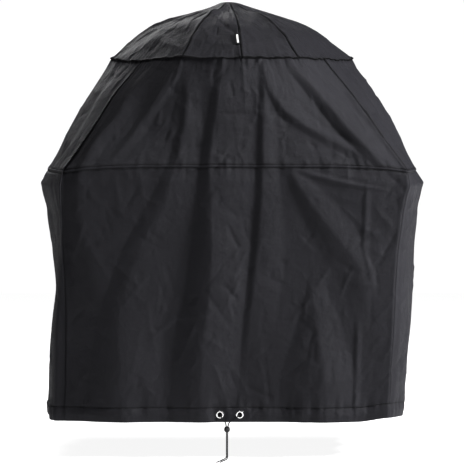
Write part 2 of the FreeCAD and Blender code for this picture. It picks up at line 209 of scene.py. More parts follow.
class Finish:
    """A material under construction."""

    def __init__(self, name):
        self.material = bpy.data.materials.new(name)
        self.material.use_nodes = True
        self.tree = self.material.node_tree
        self.shader = self.tree.nodes["Principled BSDF"]

    def node(self, kind, settings=None, output=0, **sockets):
        made = self.tree.nodes.new(kind)
        for key, value in (settings or {}).items():
            setattr(made, key, value)
        for key, value in sockets.items():
            link(self.tree, made.inputs[key.replace("_", " ")], value)
        return Socket(self.tree, made.outputs[output])

    def set(self, **sockets):
        for key, value in sockets.items():
            link(self.tree, self.shader.inputs[key.replace("_", " ")], value)
        return self

    def uv(self):
        return self.node("ShaderNodeUVMap", {"uv_map": "weave"})

    def place(self):
        return self.node("ShaderNodeTexCoord", output=3)

    def split(self, vector):
        made = self.tree.nodes.new("ShaderNodeSeparateXYZ")
        link(self.tree, made.inputs[0], vector)
        return [Socket(self.tree, out) for out in made.outputs]

    def noise(self, vector, scale, detail=2.0, roughness=0.5):
        return self.node(
            "ShaderNodeTexNoise", Vector=vector, Scale=scale, Detail=detail,
            Roughness=roughness,
        )

    def blend(self, factor, first, second):
        made = self.tree.nodes.new("ShaderNodeMix")
        made.data_type = "RGBA"
        link(self.tree, made.inputs[0], factor)
        for slot, value in ((made.inputs[6], first), (made.inputs[7], second)):
            link(self.tree, slot, value if isinstance(value, Socket) else (*value, 1.0))
        return Socket(self.tree, made.outputs[2])

    def bump(self, height, distance, strength=1.0):
        return self.node(
            "ShaderNodeBump", Height=height, Distance=distance, Strength=strength
        )


def shade(colour, share):
    return tuple(channel * share for channel in colour)


def cloth_finish(name, colour, weave=0.0011):
    """Plain-woven coated polyester: threads, slubs, faint scuffs, soft sheen, and painted shade along
    the seams.
    """
    finish = Finish(name)
    across, along, _ = finish.split(finish.uv())
    turn = 2 * math.pi / weave
    warp = (across * turn).sine()
    weft = (along * turn).sine()
    threads = warp * weft
    place = finish.place()
    patches = finish.noise(place, 7.0, 3.0)
    scuffs = finish.noise(place, 55.0, 5.0, 0.62)
    grain = finish.noise(place, 900.0, 2.0)
    crinkle = finish.noise(place, 24.0, 6.0, 0.6)
    tone = patches * 0.40 + scuffs * 0.30 + grain * 0.30
    plain = finish.blend(tone, shade(colour, 0.72), shade(colour, 1.28))
    # painted shade: this mask darkens the base colour to about an eighth along seams and stitch rows,
    # standing in for the shadow in their grooves
    painted_seam_shade = finish.node("ShaderNodeAttribute", {"attribute_name": "painted_seam_shade"}, output=2)
    finish.set(
        Base_Color=finish.blend(painted_seam_shade * 0.9, plain, shade(colour, 0.12)),
        Roughness=scuffs * 0.16 + painted_seam_shade * 0.3 + 0.45,
        Specular_IOR_Level=0.20,
        Sheen_Weight=0.02,
        Sheen_Roughness=0.45,
        Normal=finish.bump(threads * 0.4 + grain * 0.8 + scuffs * 1.5 + crinkle * 12.0, 0.0004, 0.75),
    )
    return finish.material


def thread_finish(name, colour):
    """Bonded thread: fine twisted strands with a slight gloss."""
    finish = Finish(name)
    place = finish.place()
    strands = finish.noise(place, 1800.0, 2.0)
    finish.set(
        Base_Color=finish.blend(strands, shade(colour, 0.7), shade(colour, 1.5)),
        Roughness=strands * 0.2 + 0.4,
        Normal=finish.bump(strands, 0.0001, 0.6),
    )
    return finish.material


def cord_finish(name, colour, pitch=0.0011):
    """Braided cord: two families of strands that cross round the cord."""
    finish = Finish(name)
    across, along, _ = finish.split(finish.uv())
    turn = 2 * math.pi / pitch
    left = ((along + across) * turn).sine()
    right = ((along - across) * turn).sine()
    braid = left * right
    fibres = finish.noise(finish.place(), 1500.0, 3.0)
    finish.set(
        Base_Color=finish.blend(fibres, shade(colour, 0.6), shade(colour, 2.2)),
        Roughness=fibres * 0.2 + 0.7,
        Specular_IOR_Level=0.15,
        Normal=finish.bump(braid + fibres * 0.4, 0.0002, 0.7),
    )
    return finish.material


def metal_finish(name, colour, roughness=0.16):
    """Bright plate over pressed metal, with fine handling marks."""
    finish = Finish(name)
    place = finish.place()
    marks = finish.noise(place, 420.0, 4.0, 0.7)
    finish.set(
        Base_Color=finish.blend(marks, shade(colour, 0.86), colour),
        Metallic=1.0,
        Roughness=marks * 0.16 + roughness,
        Normal=finish.bump(marks, 0.00005, 0.4),
    )
    return finish.material


def plastic_finish(name, colour):
    """Moulded nylon with a fine spark-eroded grain."""
    finish = Finish(name)
    place = finish.place()
    grain = finish.noise(place, 1100.0, 2.0)
    flow = finish.noise(place, 160.0, 2.0)
    finish.set(
        Base_Color=finish.blend(flow, shade(colour, 0.8), shade(colour, 1.25)),
        Roughness=grain * 0.15 + 0.34,
        Normal=finish.bump(grain, 0.00006, 0.5),
    )
    return finish.material


# ------------------------------------------------------------------ smooth helpers


def ease(x):
    x = np.clip(x, 0.0, 1.0)
    return x * x * (3 - 2 * x)


def along_levels(z, levels):
    """Values at heights z, from a few levels written from the top down."""
    table = np.array(levels, float)[::-1]
    return [np.interp(z, table[:, 0], table[:, k]) for k in range(1, table.shape[1])]


def rounded(values, width, axis, wrap):
    """Values averaged with their neighbours over a few cells."""
    reach = max(1, int(3 * width))
    weights = np.exp(-0.5 * (np.arange(-reach, reach + 1) / width) ** 2)
    weights /= weights.sum()
    total = np.zeros_like(values)
    if not wrap:
        pad = [(0, 0)] * values.ndim
        pad[axis] = (reach, reach)
        values = np.pad(values, pad, mode="edge")
    for shift, weight in zip(range(-reach, reach + 1), weights):
        if wrap:
            total += weight * np.roll(values, shift, axis)
        else:
            start = reach + shift
            part = [slice(None)] * values.ndim
            part[axis] = slice(start, start + total.shape[axis])
            total += weight * values[tuple(part)]
    return total


def soft_noise(u, v, girth, scale, seed):
    """Smooth noise from -1 to 1 on the sheet, which closes round the girth."""
    chance = np.random.RandomState(seed)
    cells = max(3, int(round(girth / scale)))
    rows = int(np.max(v) / scale) + 4
    grid = chance.uniform(-1, 1, (rows, cells))
    x = (u / girth) * cells
    y = v / scale
    column, row = np.floor(x).astype(int), np.floor(y).astype(int)
    fx, fy = ease(x - column), ease(y - row)
    row = np.clip(row, 0, rows - 2)
    left, right = column % cells, (column + 1) % cells
    top = grid[row, left] * (1 - fx) + grid[row, right] * fx
    low = grid[row + 1, left] * (1 - fx) + grid[row + 1, right] * fx
    return top * (1 - fy) + low * fy


def crumples(u, v, girth, seed, count):
    """Short straight creases left by the cloth's folding, each a soft ridge or valley."""
    chance = np.random.RandomState(seed)
    lift = np.zeros_like(u)
    length = float(np.max(v))
    for _ in range(count):
        middle_u, middle_v = chance.uniform(0, girth), chance.uniform(0.06, length)
        lean = chance.normal(math.pi / 2, 0.75)
        half = chance.uniform(0.010, 0.030) + 0.045 * chance.uniform() ** 3
        wide = chance.uniform(0.003, 0.007) + half * 0.05
        tall = chance.choice([-1, 1]) * chance.uniform(0.08, 0.36) * wide
        across = (u[0] - middle_u + girth / 2) % girth - girth / 2
        near = np.abs(across) < half + 3 * wide
        rows = np.abs(v[:, 0] - middle_v) < half + 3 * wide
        block = np.ix_(rows, near)
        du = np.broadcast_to(across[near], lift[block].shape)
        dv = np.broadcast_to((v[:, 0][rows] - middle_v)[:, None], lift[block].shape)
        along = du * math.cos(lean) + dv * math.sin(lean)
        away = dv * math.cos(lean) - du * math.sin(lean)
        ends = ease((half - np.abs(along)) / (0.6 * half))
        slant = np.where(away > 0, 1.0, 0.6)
        lift[block] += tall * ends * np.exp(-np.abs(away) / (wide * slant))
    return lift


# ------------------------------------------------------------------ folds of the cloth
#
# A fold is a crest that runs down the cloth.  Each of its points gives the height z, the
# place across the side as seen from outside, how far the crest stands out, and the widths
# of its left and right flanks.

FRONT_FOLDS = {
    "centre": [
        (-0.16, -0.022, 0.003, 0.022, 0.090), (-0.257, -0.035, 0.009, 0.022, 0.100),
        (-0.344, -0.048, 0.011, 0.024, 0.110), (-0.43, -0.060, 0.012, 0.024, 0.125),
        (-0.54, -0.056, 0.016, 0.040, 0.125), (-0.673, -0.054, 0.021, 0.060, 0.110),
        (-0.78, -0.059, 0.024, 0.070, 0.105), (-0.90, -0.074, 0.026, 0.082, 0.105),
        (-1.02, -0.084, 0.024, 0.088, 0.105), (-1.14, -0.088, 0.016, 0.090, 0.100),
    ],
    "beside centre": [
        (-0.18, 0.086, 0.002, 0.012, 0.030), (-0.257, 0.085, 0.006, 0.013, 0.034),
        (-0.43, 0.084, 0.008, 0.017, 0.040), (-0.54, 0.080, 0.009, 0.018, 0.055),
        (-0.66, 0.071, 0.009, 0.019, 0.075), (-0.75, 0.061, 0.008, 0.020, 0.080),
        (-0.88, 0.047, 0.005, 0.020, 0.070), (-1.00, 0.038, 0.001, 0.020, 0.050),
    ],
    "left": [
        (-0.20, -0.120, 0.001, 0.018, 0.030), (-0.257, -0.122, 0.005, 0.014, 0.040),
        (-0.344, -0.128, 0.006, 0.016, 0.050), (-0.43, -0.148, 0.007, 0.024, 0.060),
        (-0.54, -0.185, 0.008, 0.040, 0.085), (-0.673, -0.250, 0.010, 0.050, 0.120),
        (-0.78, -0.288, 0.012, 0.050, 0.130), (-0.87, -0.308, 0.015, 0.060, 0.120),
        (-0.97, -0.304, 0.018, 0.080, 0.120), (-1.14, -0.298, 0.016, 0.090, 0.110),
    ],
    "wedge": [
        (-0.74, 0.214, 0.0, 0.010, 0.030), (-0.781, 0.218, 0.005, 0.018, 0.045),
        (-0.835, 0.224, 0.010, 0.038, 0.060), (-0.90, 0.232, 0.016, 0.066, 0.075),
        (-0.97, 0.241, 0.021, 0.098, 0.085), (-1.024, 0.249, 0.024, 0.122, 0.090),
        (-1.14, 0.254, 0.020, 0.125, 0.090),
    ],
    "right strip": [
        (-0.85, 0.338, 0.0, 0.007, 0.014), (-0.90, 0.338, 0.0035, 0.007, 0.014),
        (-1.08, 0.334, 0.0040, 0.007, 0.016), (-1.14, 0.334, 0.001, 0.007, 0.016),
    ],
    "right edge": [
        (-0.49, 0.362, 0.001, 0.006, 0.014), (-0.53, 0.360, 0.0035, 0.006, 0.016),
        (-0.66, 0.354, 0.0035, 0.006, 0.018), (-0.74, 0.372, 0.002, 0.006, 0.016),
        (-0.79, 0.388, 0.0, 0.006, 0.014),
    ],
    "right swag": [
        (-0.45, 0.155, 0.003, 0.020, 0.030), (-0.498, 0.180, 0.008, 0.026, 0.050),
        (-0.538, 0.208, 0.011, 0.036, 0.070), (-0.611, 0.262, 0.012, 0.060, 0.075),
        (-0.673, 0.312, 0.011, 0.080, 0.055), (-0.727, 0.345, 0.007, 0.080, 0.040),
        (-0.80, 0.360, 0.003, 0.050, 0.030), (-0.86, 0.365, 0.0, 0.050, 0.030),
    ],
    "upper swag": [
        (-0.452, 0.165, 0.002, 0.020, 0.030), (-0.475, 0.235, 0.006, 0.035, 0.040),
        (-0.492, 0.310, 0.007, 0.050, 0.040), (-0.500, 0.370, 0.005, 0.060, 0.040),
        (-0.510, 0.420, 0.0, 0.060, 0.040),
    ],
    "diagonal": [
        (-0.21, 0.097, 0.003, 0.012, 0.040), (-0.25, 0.108, 0.008, 0.016, 0.055),
        (-0.30, 0.140, 0.010, 0.022, 0.060), (-0.344, 0.205, 0.009, 0.036, 0.050),
        (-0.387, 0.290, 0.007, 0.046, 0.040), (-0.42, 0.355, 0.004, 0.046, 0.030),
        (-0.44, 0.380, 0.0, 0.046, 0.030),
    ],
    "right corner": [
        (-0.170, 0.163, 0.004, 0.020, 0.050), (-0.201, 0.184, 0.011, 0.026, 0.060),
        (-0.268, 0.243, 0.015, 0.030, 0.070), (-0.349, 0.312, 0.016, 0.034, 0.070),
        (-0.403, 0.368, 0.014, 0.034, 0.060), (-0.440, 0.410, 0.005, 0.030, 0.050),
        (-0.460, 0.430, 0.0, 0.030, 0.040),
    ],
    "left corner": [
        (-0.17, -0.215, 0.002, 0.020, 0.030), (-0.214, -0.245, 0.005, 0.022, 0.034),
        (-0.30, -0.305, 0.006, 0.022, 0.038), (-0.387, -0.375, 0.006, 0.022, 0.038),
        (-0.43, -0.400, 0.003, 0.022, 0.038),
    ],
    "left slant": [
        (-0.17, -0.140, 0.003, 0.016, 0.022), (-0.257, -0.195, 0.006, 0.018, 0.028),
        (-0.344, -0.255, 0.006, 0.020, 0.030), (-0.43, -0.320, 0.002, 0.020, 0.030),
    ],
}

# Creases over the front: the ends (x, z) as seen from the front, the height and the width.
FRONT_CREASES = [
    (-0.160, -0.060, -0.089, -0.045, 0.0070, 0.008), (-0.089, -0.045, -0.040, -0.024, 0.0070, 0.008),
    (-0.006, -0.026, -0.010, -0.070, 0.0055, 0.016), (0.014, -0.030, 0.020, -0.088, -0.0070, 0.008),
    (-0.035, -0.052, 0.010, -0.084, -0.0070, 0.006), (-0.060, -0.030, -0.022, -0.058, 0.0055, 0.008),
    (-0.113, -0.101, 0.019, -0.126, 0.0045, 0.010), (0.019, -0.120, 0.157, -0.101, 0.0040, 0.010),
    (0.157, -0.097, 0.270, -0.099, 0.0030, 0.012), (0.050, -0.028, 0.120, -0.048, 0.0055, 0.008),
    (0.075, -0.045, 0.150, -0.074, -0.0045, 0.008), (-0.100, -0.062, -0.170, -0.090, -0.0045, 0.009),
    (-0.190, -0.080, -0.250, -0.118, 0.0055, 0.010), (0.190, -0.062, 0.235, -0.088, 0.0050, 0.008),
    (-0.210, -0.100, -0.130, -0.130, 0.0035, 0.007), (-0.080, -0.070, -0.050, -0.110, 0.0035, 0.007),
    (0.030, -0.060, 0.070, -0.110, 0.0035, 0.007), (0.100, -0.085, 0.130, -0.140, 0.0025, 0.007),
    (-0.113, -0.250, -0.122, -0.335, 0.0030, 0.007), (-0.122, -0.335, -0.146, -0.430, 0.0030, 0.007),
    (-0.060, -0.175, -0.055, -0.250, 0.0025, 0.006), (0.030, -0.180, 0.036, -0.300, 0.0018, 0.006),
    (0.150, -0.180, 0.175, -0.270, 0.0030, 0.007), (-0.170, -0.190, -0.230, -0.330, 0.0025, 0.008),
    (-0.300, -0.760, -0.220, -0.830, 0.0035, 0.007), (-0.300, -0.830, -0.230, -0.745, 0.0030, 0.006),
    (-0.330, -0.700, -0.250, -0.770, 0.0030, 0.006), (-0.395, -0.640, -0.330, -0.760, 0.0025, 0.007),
    (-0.230, -0.820, -0.205, -0.960, 0.0025, 0.007), (0.000, -0.760, 0.045, -0.660, 0.0030, 0.008),
    (-0.020, -0.830, 0.030, -0.730, 0.0030, 0.007), (0.010, -1.000, 0.045, -1.070, 0.0025, 0.006),
    (0.300, -0.560, 0.390, -0.640, 0.0028, 0.007), (0.330, -0.640, 0.420, -0.700, 0.0026, 0.007),
    (0.200, -0.500, 0.330, -0.540, 0.0030, 0.007), (0.230, -0.470, 0.390, -0.478, 0.0028, 0.006),
    (-0.420, -0.470, -0.350, -0.560, 0.0030, 0.008), (-0.320, -0.460, -0.300, -0.560, 0.0022, 0.007),
    (-0.250, -0.460, -0.230, -0.600, 0.0022, 0.007), (-0.170, -0.520, -0.215, -0.640, 0.0022, 0.007),
]


# how round a crease's top is, as a share of its width
CREST = 0.22


def crease_field(x, z, creases):
    """How far a list of straight creases lifts the cloth, seen from the front."""
    lift = np.zeros_like(x)
    for x0, z0, x1, z1, height, width in creases:
        long = math.hypot(x1 - x0, z1 - z0)
        ux, uz = (x1 - x0) / long, (z1 - z0) / long
        along = ((x - x0) * ux + (z - z0) * uz) / long
        away = (z - z0) * ux - (x - x0) * uz
        ends = ease((along + 0.12) / 0.3) * ease((1.12 - along) / 0.3)
        spread = np.sqrt(away**2 + (CREST * width) ** 2) / (1.25 * width)
        lift += (0.9 if z0 > -0.13 else 0.7) * height * ends * np.exp(-spread)
    return lift


def fold_field(a, z, folds, depth=1.0):
    """How far the folds of one side lift the cloth, at places a across and z up."""
    lift = np.zeros_like(a)
    for points in folds.values():
        place, height, left, right = along_levels(z, points)
        top, bottom = points[0][0], points[-1][0]
        inside = ease((top + 0.03 - z) / 0.03) * ease((z - bottom + 0.03) / 0.03)
        t = (a - place) / np.where(a < place, left, right)
        flank = np.clip(1 - np.abs(t), 0, 1)
        lift += depth * height * inside * flank**1.25 * (1.7 - 0.7 * flank)
    return lift


def loose_folds(seed, half_top, half_low):
    """Folds for a side that hangs freely: fanned from the shoulder, wider at the hem."""
    chance = np.random.RandomState(seed)
    folds = {}
    for i in range(6):
        start = (-0.85 + 0.34 * i + chance.uniform(-0.05, 0.05)) * half_low
        drift = chance.uniform(-0.05, 0.05)
        tall = chance.uniform(0.010, 0.022)
        left, right = chance.uniform(0.05, 0.11, 2)
        top = SHOULDER - chance.uniform(0.0, 0.14)
        folds[f"hanging {i}"] = [
            (top, start, 0.002, left * 0.4, right * 0.4),
            (top - 0.16, start + drift * 0.4, tall * 0.6, left * 0.7, right * 0.7),
            (-0.90, start + drift, tall, left, right),
            (-1.14, start + drift * 1.2, tall * 0.9, left * 1.1, right * 1.1),
        ]
    for i in range(5):
        start = (-0.8 + 0.4 * i + chance.uniform(-0.06, 0.06)) * half_top
        spread = half_low / half_top * 0.9
        tall = chance.uniform(0.005, 0.013)
        folds[f"fanned {i}"] = [
            (-0.17, start, 0.002, 0.03, 0.04), (-0.27, start * 1.25, tall, 0.04, 0.05),
            (-0.37, start * 1.25 * spread ** 0.6, tall, 0.04, 0.06),
            (-0.44, start * spread, 0.002, 0.03, 0.04),
        ]
    return folds


# ------------------------------------------------------------------ the whole sheet

# The cover's outline at a few heights: the corners' distance to the left and right of the
# middle, how far the left and right sides reach at their middle, and the front's place.
OUTLINE = [
    (-0.442, 0.455, 0.474, 0.510, 0.510, 0.365), (-0.487, 0.462, 0.480, 0.534, 0.534, 0.368),
    (-0.520, 0.461, 0.470, 0.527, 0.526, 0.366), (-0.567, 0.460, 0.460, 0.514, 0.514, 0.362),
    (-0.680, 0.459, 0.448, 0.498, 0.507, 0.357), (-0.790, 0.459, 0.440, 0.488, 0.502, 0.352),
    (-0.930, 0.461, 0.436, 0.497, 0.492, 0.347), (-1.050, 0.463, 0.430, 0.505, 0.482, 0.343),
    (-1.140, 0.465, 0.426, 0.510, 0.473, 0.342),
]
# The crown's profile from the tip out to its seam: distance from the middle, and height.
CROWN = [
    (0.0, 0.004), (0.018, 0.003), (0.031, 0.000), (0.046, -0.009), (0.070, -0.017),
    (0.130, -0.032), (0.180, -0.046), (0.222, -0.063), (0.262, -0.091),
    (CROWN_RADIUS, SKIRT_TOP),
]
CORNER = 49.0  # degrees from the front to the corner seams, at the crown
CROWN_TURN = 4.5
GORE_SEAMS = [CROWN_TURN + turn for turn in (0, 28, 90, 152, 180, 208, 270, 332)]
GORES = [
    "front_right", "side_front_right", "side_back_right", "back_right",
    "back_left", "side_back_left", "side_front_left", "front_left",
]
SIDES = ["front", "right", "back", "left"]
FINE = [0.0009, 0.0022, 0.0042]  # the mesh's steps beside a seam


def steps_between(places, step):
    """Places with even steps between them, and finer steps beside each."""
    made = []
    for start, finish in zip(places, places[1:]):
        inner = [start + f for f in [0, *FINE]] + [finish - f for f in reversed(FINE)]
        low, high = inner[len(FINE)], inner[len(FINE) + 1]
        count = max(2, int(round((high - low) / step)))
        made += inner[: len(FINE)] + list(np.linspace(low, high, count + 1))
        made += inner[len(FINE) + 2:]
    return made


class Sheet:
    """The cover as one sheet of cloth: rows from the tip to the hem, columns round it."""

    def __init__(self, sizes):
        self.sizes = sizes
        self.lay_out_columns()
        self.lay_out_rows()
        self.base_shape()
        self.settle()

    def lay_out_columns(self):
        """Columns as angles round the crown, clockwise from above, from the front."""
        corners = [-CORNER, CORNER, 180 - CORNER, 180 + CORNER, 360 - CORNER]
        angles, sides, across = [], [], []
        self.side_columns, self.corner_columns = {}, []
        for i, side in enumerate(SIDES):
            start, finish = corners[i], corners[i + 1]
            half_angle = (finish - start) / 2
            half = 0.465 if side in ("front", "back") else 0.36
            seams = [g - 360 if g > 360 - CORNER else g for g in GORE_SEAMS]
            inner = sorted(g for g in seams if start < g < finish)
            places = [-half] + [(g - (start + finish) / 2) / half_angle * half for g in inner]
            if side == "front":
                places += [p.x + d for p in EYELETS for d in (-0.012, 0.012)]
            places = steps_between(sorted(places) + [half], self.sizes.cell)
            self.corner_columns.append(len(angles))
            for place in places:
                angles.append((start + finish) / 2 + place / half * half_angle)
                sides.append(i)
                across.append(place / half)
            self.side_columns[side] = (self.corner_columns[-1], len(angles))
        self.angles = np.array(angles)
        self.side = np.array(sides)
        self.across = np.array(across)
        self.columns = len(angles)
        self.gore_columns = [
            int(np.argmin(np.abs((self.angles - g + 180) % 360 - 180))) for g in GORE_SEAMS
        ]

    def lay_out_rows(self):
        """Rows as distances down the sheet: crown, upper skirt, lower skirt, hem."""
        step = self.sizes.cell
        crown = np.array(CROWN)
        lengths = np.hypot(*np.diff(crown, axis=0).T)
        self.crown_length = float(lengths.sum())
        rows = steps_between([0.006, self.crown_length], step)
        self.seam_row = len(rows) - 1
        fine = np.linspace(0, self.crown_length, 400)
        knots = np.concatenate([[0], np.cumsum(lengths)])
        radius = rounded(np.interp(fine, knots, crown[:, 0])[:, None], 9, 0, False)[:, 0]
        height = rounded(np.interp(fine, knots, crown[:, 1])[:, None], 9, 0, False)[:, 0]
        radius += (CROWN_RADIUS - radius[-1]) * ease(fine / self.crown_length)
        height += (SKIRT_TOP - height[-1]) * ease(fine / self.crown_length)
        self.crown_radius = np.interp(rows, fine, radius)
        self.crown_height = np.interp(rows, fine, height)
        drops = steps_between([SKIRT_TOP, SHOULDER][::-1], step)[::-1]
        upper = [z for z in drops[1:]]
        self.shoulder_row = self.seam_row + len(upper)
        drops = steps_between([SHOULDER - 0.010, SHOULDER][::-1][::-1], step)[::-1]
        lower = [z for z in drops[1:]]
        drops = steps_between([HEM, SHOULDER - 0.010], step)[::-1]
        lower += drops[1:]
        self.hem_row = self.shoulder_row + len(lower)
        drops = steps_between([EDGE, HEM], 0.0035)[::-1]
        hem = drops[1:]
        self.edge_row = self.hem_row + len(hem)
        self.heights = np.array(upper + lower + hem)
        self.rows = self.edge_row + 1

    def base_shape(self):
        """The taut shape, before any fold."""
        angle = np.radians(self.angles)
        around = np.stack([np.sin(angle), -np.cos(angle)], 1)
        point = np.zeros((self.rows, self.columns, 3))
        crown = self.seam_row + 1
        point[:crown, :, :2] = self.crown_radius[:, None, None] * around
        point[:crown, :, 2] = self.crown_height[:, None]
        z = self.heights[:, None]
        left, right, reach_left, reach_right, deep = along_levels(z, OUTLINE)
        loose = 0.006 * ease((-0.58 - z) / 0.1)
        reach_left, reach_right = reach_left - loose, reach_right - loose
        s = self.across[None, :]
        bulge = 1 - s**2
        half_left = np.broadcast_to(left, (len(z), self.columns))
        half_right = np.broadcast_to(right, half_left.shape)
        side = np.broadcast_to(self.side, half_left.shape)
        front_bow = 0.008 + (HEM_FRONT * -1 - 0.342 - 0.008) * ease((-0.9 - z) / 0.2)
        long_way = np.where(s < 0, half_left, half_right) * s
        back_way = np.where(s < 0, half_right, half_left) * s
        out_front = deep + front_bow * bulge
        # the front's left edge turns away, further in towards the hem
        begin = 0.415 - 0.070 * ease((-0.55 - z) / 0.40)
        turn_away = np.clip((-long_way - begin) / (0.465 - begin), 0, 1)
        out_front = out_front - (0.022 + 0.024 * ease((-0.55 - z) / 0.40)) * turn_away
        x = np.select(
            [side == 0, side == 1, side == 2],
            [long_way, right + (reach_right - right) * bulge, -back_way],
            -(left + (reach_left - left) * bulge),
        )
        y = np.select(
            [side == 0, side == 1, side == 2], [-out_front, deep * s, out_front], -deep * s
        )
        # between the crown and the shoulder the sheet runs straight from ring to rectangle
        low = int(self.shoulder_row - self.seam_row - 1)
        share = np.clip((SKIRT_TOP - z) / (SKIRT_TOP - SHOULDER), 0, 1)
        ring = CROWN_RADIUS * around
        puff = -0.004 * np.sin(np.pi * share) ** 0.7
        straight_x = ring[:, 0] * (1 - share) + x[low] * share
        straight_y = ring[:, 1] * (1 - share) + y[low] * share
        x = np.where(share < 1, straight_x + puff * around[:, 0], x)
        y = np.where(share < 1, straight_y + puff * around[:, 1], y)
        point[crown:, :, 0] = x
        point[crown:, :, 1] = y
        point[crown:, :, 2] = z
        self.point = point
        self.round_corners()

    def round_corners(self):
        """The vertical edges of the lower skirt are rounded, the front left one most."""
        z = self.point[:, :1, 2]
        soft = rounded(self.point, 2.2, 1, True)
        softer = rounded(self.point, 9.0, 1, True)
        below = ease((SHOULDER + 0.03 - z) / 0.06)[..., None]
        gap = (self.angles - (360 - CORNER) + 180) % 360 - 180
        wide = np.exp(-((gap / 16) ** 2))[None, :, None]
        wide = wide * ease((-0.62 - z) / 0.25)[..., None]
        self.point = self.point + (soft - self.point) * below
        self.point = self.point + (softer - self.point) * wide
        self.point[:, :, 2:] = self.point[:, :1, 2:]

    def normals(self, point):
        down = np.gradient(point, axis=0)
        round_it = (np.roll(point, -1, 1) - np.roll(point, 1, 1)) / 2
        normal = np.cross(down, round_it)
        normal /= np.linalg.norm(normal, axis=2, keepdims=True) + 1e-12
        middle = point[:, :, :2].copy()
        outward = (normal[:, :, :2] * middle).sum(2, keepdims=True) + normal[:, :, 2:] * 0.1
        return normal * np.sign(np.median(outward))

    def seam_distance(self, row):
        down = np.linalg.norm(np.diff(self.point, axis=0), axis=2).mean(1)
        down = np.concatenate([[0], np.cumsum(down)])
        return (down - down[row])[:, None]

    def column_distance(self, column):
        """Distance round the sheet from a column, row by row."""
        steps = np.linalg.norm(np.roll(self.point, -1, 1) - self.point, axis=2)
        run = np.concatenate([np.zeros((self.rows, 1)), np.cumsum(steps, 1)[:, :-1]], 1)
        girth = steps.sum(1, keepdims=True)
        away = run - run[:, column: column + 1]
        return (away + girth / 2) % girth - girth / 2

    def settle(self):
        """Folds, puckers, welts and wrinkles, laid on the taut shape, and the painted shade along the
        seams.
        """
        amount = self.sizes.wrinkle
        point = self.point
        normal = self.normals(rounded(point, 3, 1, True))
        x, y, z = point[..., 0], point[..., 1], point[..., 2]
        crown = np.arange(self.rows)[:, None] <= self.seam_row
        side = np.broadcast_to(self.side, x.shape)
        edge = ease((1 - np.abs(self.across)) / 0.07)[None, :]
        steps = np.linalg.norm(np.roll(point, -1, 1) - point, axis=2)
        girth = float(steps[self.shoulder_row].sum())
        u = np.concatenate([[0], np.cumsum(steps[self.shoulder_row])[:-1]])[None, :]
        u = np.broadcast_to(u, x.shape)
        v = self.seam_distance(0) + 0 * u
        self.u, self.v, self.girth = u, v, girth

        def noise(scale, seed):
            return soft_noise(u, v, girth, scale, self.sizes.seed + seed)

        lift = np.zeros_like(x)
        # painted shade along the seams and stitch rows, kept for the cloth's base colour
        painted_seam_shade = np.zeros_like(x)
        views = {"front": x, "right": y, "back": -x, "left": -y}
        folds = {
            "front": FRONT_FOLDS, "right": loose_folds(31, 0.22, 0.36),
            "back": loose_folds(52, 0.25, 0.46), "left": loose_folds(67, 0.22, 0.36),
        }
        on_skirt = ~crown
        for i, name in enumerate(SIDES):
            part = fold_field(views[name], z, folds[name]) * edge
            lift += np.where((side == i) & on_skirt, part, 0)
        # the crown: flat gores between ridged seams, then lumps from the handle below
        fall = self.seam_distance(self.seam_row)
        near_crown = np.where(fall < 0, 1.0, ease(1 - fall / 0.13))
        for i, start in enumerate(GORE_SEAMS):
            wide = (28, 62, 62, 28, 28, 62, 62, 28)[i]
            t = ((self.angles - start) % 360) / wide
            flat = np.where(t <= 1, 1 - (2 * t - 1) ** 2, 0)[None, :]
            ring = np.hypot(x, y) / CROWN_RADIUS
            lift -= flat * near_crown * (0.0035 if wide == 28 else 0.010) * ease(ring * 1.4)
        lift += np.where(y < -0.02, crease_field(x, z, FRONT_CREASES), 0)
        rough = np.where(fall < 0, ease((self.v - 0.03) / 0.08), 1.0)
        lift += noise(0.21, 1) * 0.0040 * amount * rough
        lift += noise(0.095, 2) * 0.0022 * amount * rough
        lift += crumples(u, v, girth, self.sizes.seed, 2200) * amount * rough
        # puckers along the sewn lines
        ripple = soft_noise(u, v * 0.15, girth, 0.012, 5) + soft_noise(u, v * 0.15, girth, 0.03, 6)
        for row, size, reach in (
            (self.seam_row, 0.0026, 0.022), (self.shoulder_row, 0.0021, 0.022),
            (self.hem_row, 0.0022, 0.030),
        ):
            away = np.abs(self.seam_distance(row))
            lift += ripple * size * np.exp(-away / reach)
        # the gathers of the hem
        low = self.seam_distance(self.hem_row)
        gathers = soft_noise(u, v * 0.1, girth, 0.045, 8) * 0.0022 * ease((low + 0.05) / 0.05)
        lift += gathers
        # seams: welts with a groove where the pieces meet
        for row in (self.seam_row,):
            away = self.seam_distance(row)
            lift += np.where(away <= 0, 0.0016 * np.exp(-((away / 0.006) ** 2)), 0)
            lift -= np.where(away > 0, 0.0012 * np.exp(-((away / 0.004) ** 2)), 0)
        felled = self.seam_distance(self.shoulder_row)
        lift += 0.0018 * ease((felled + 0.003) / 0.004) * ease((0.013 - felled) / 0.004)
        # painted shade in the stitch lines of the shoulder, hem and crown seams
        for offset in (0.0, 0.010):
            painted_seam_shade += 0.65 * np.exp(-(((felled - offset) / 0.0020) ** 2))
            lift -= 0.0030 * np.exp(-(((felled - offset) / 0.0024) ** 2))
        stitched = self.seam_distance(self.hem_row)
        painted_seam_shade += 0.7 * np.exp(-((stitched / 0.0022) ** 2))
        painted_seam_shade += np.exp(-((self.seam_distance(self.seam_row) / 0.0026) ** 2))
        lift -= 0.0010 * np.exp(-((stitched / 0.0025) ** 2))
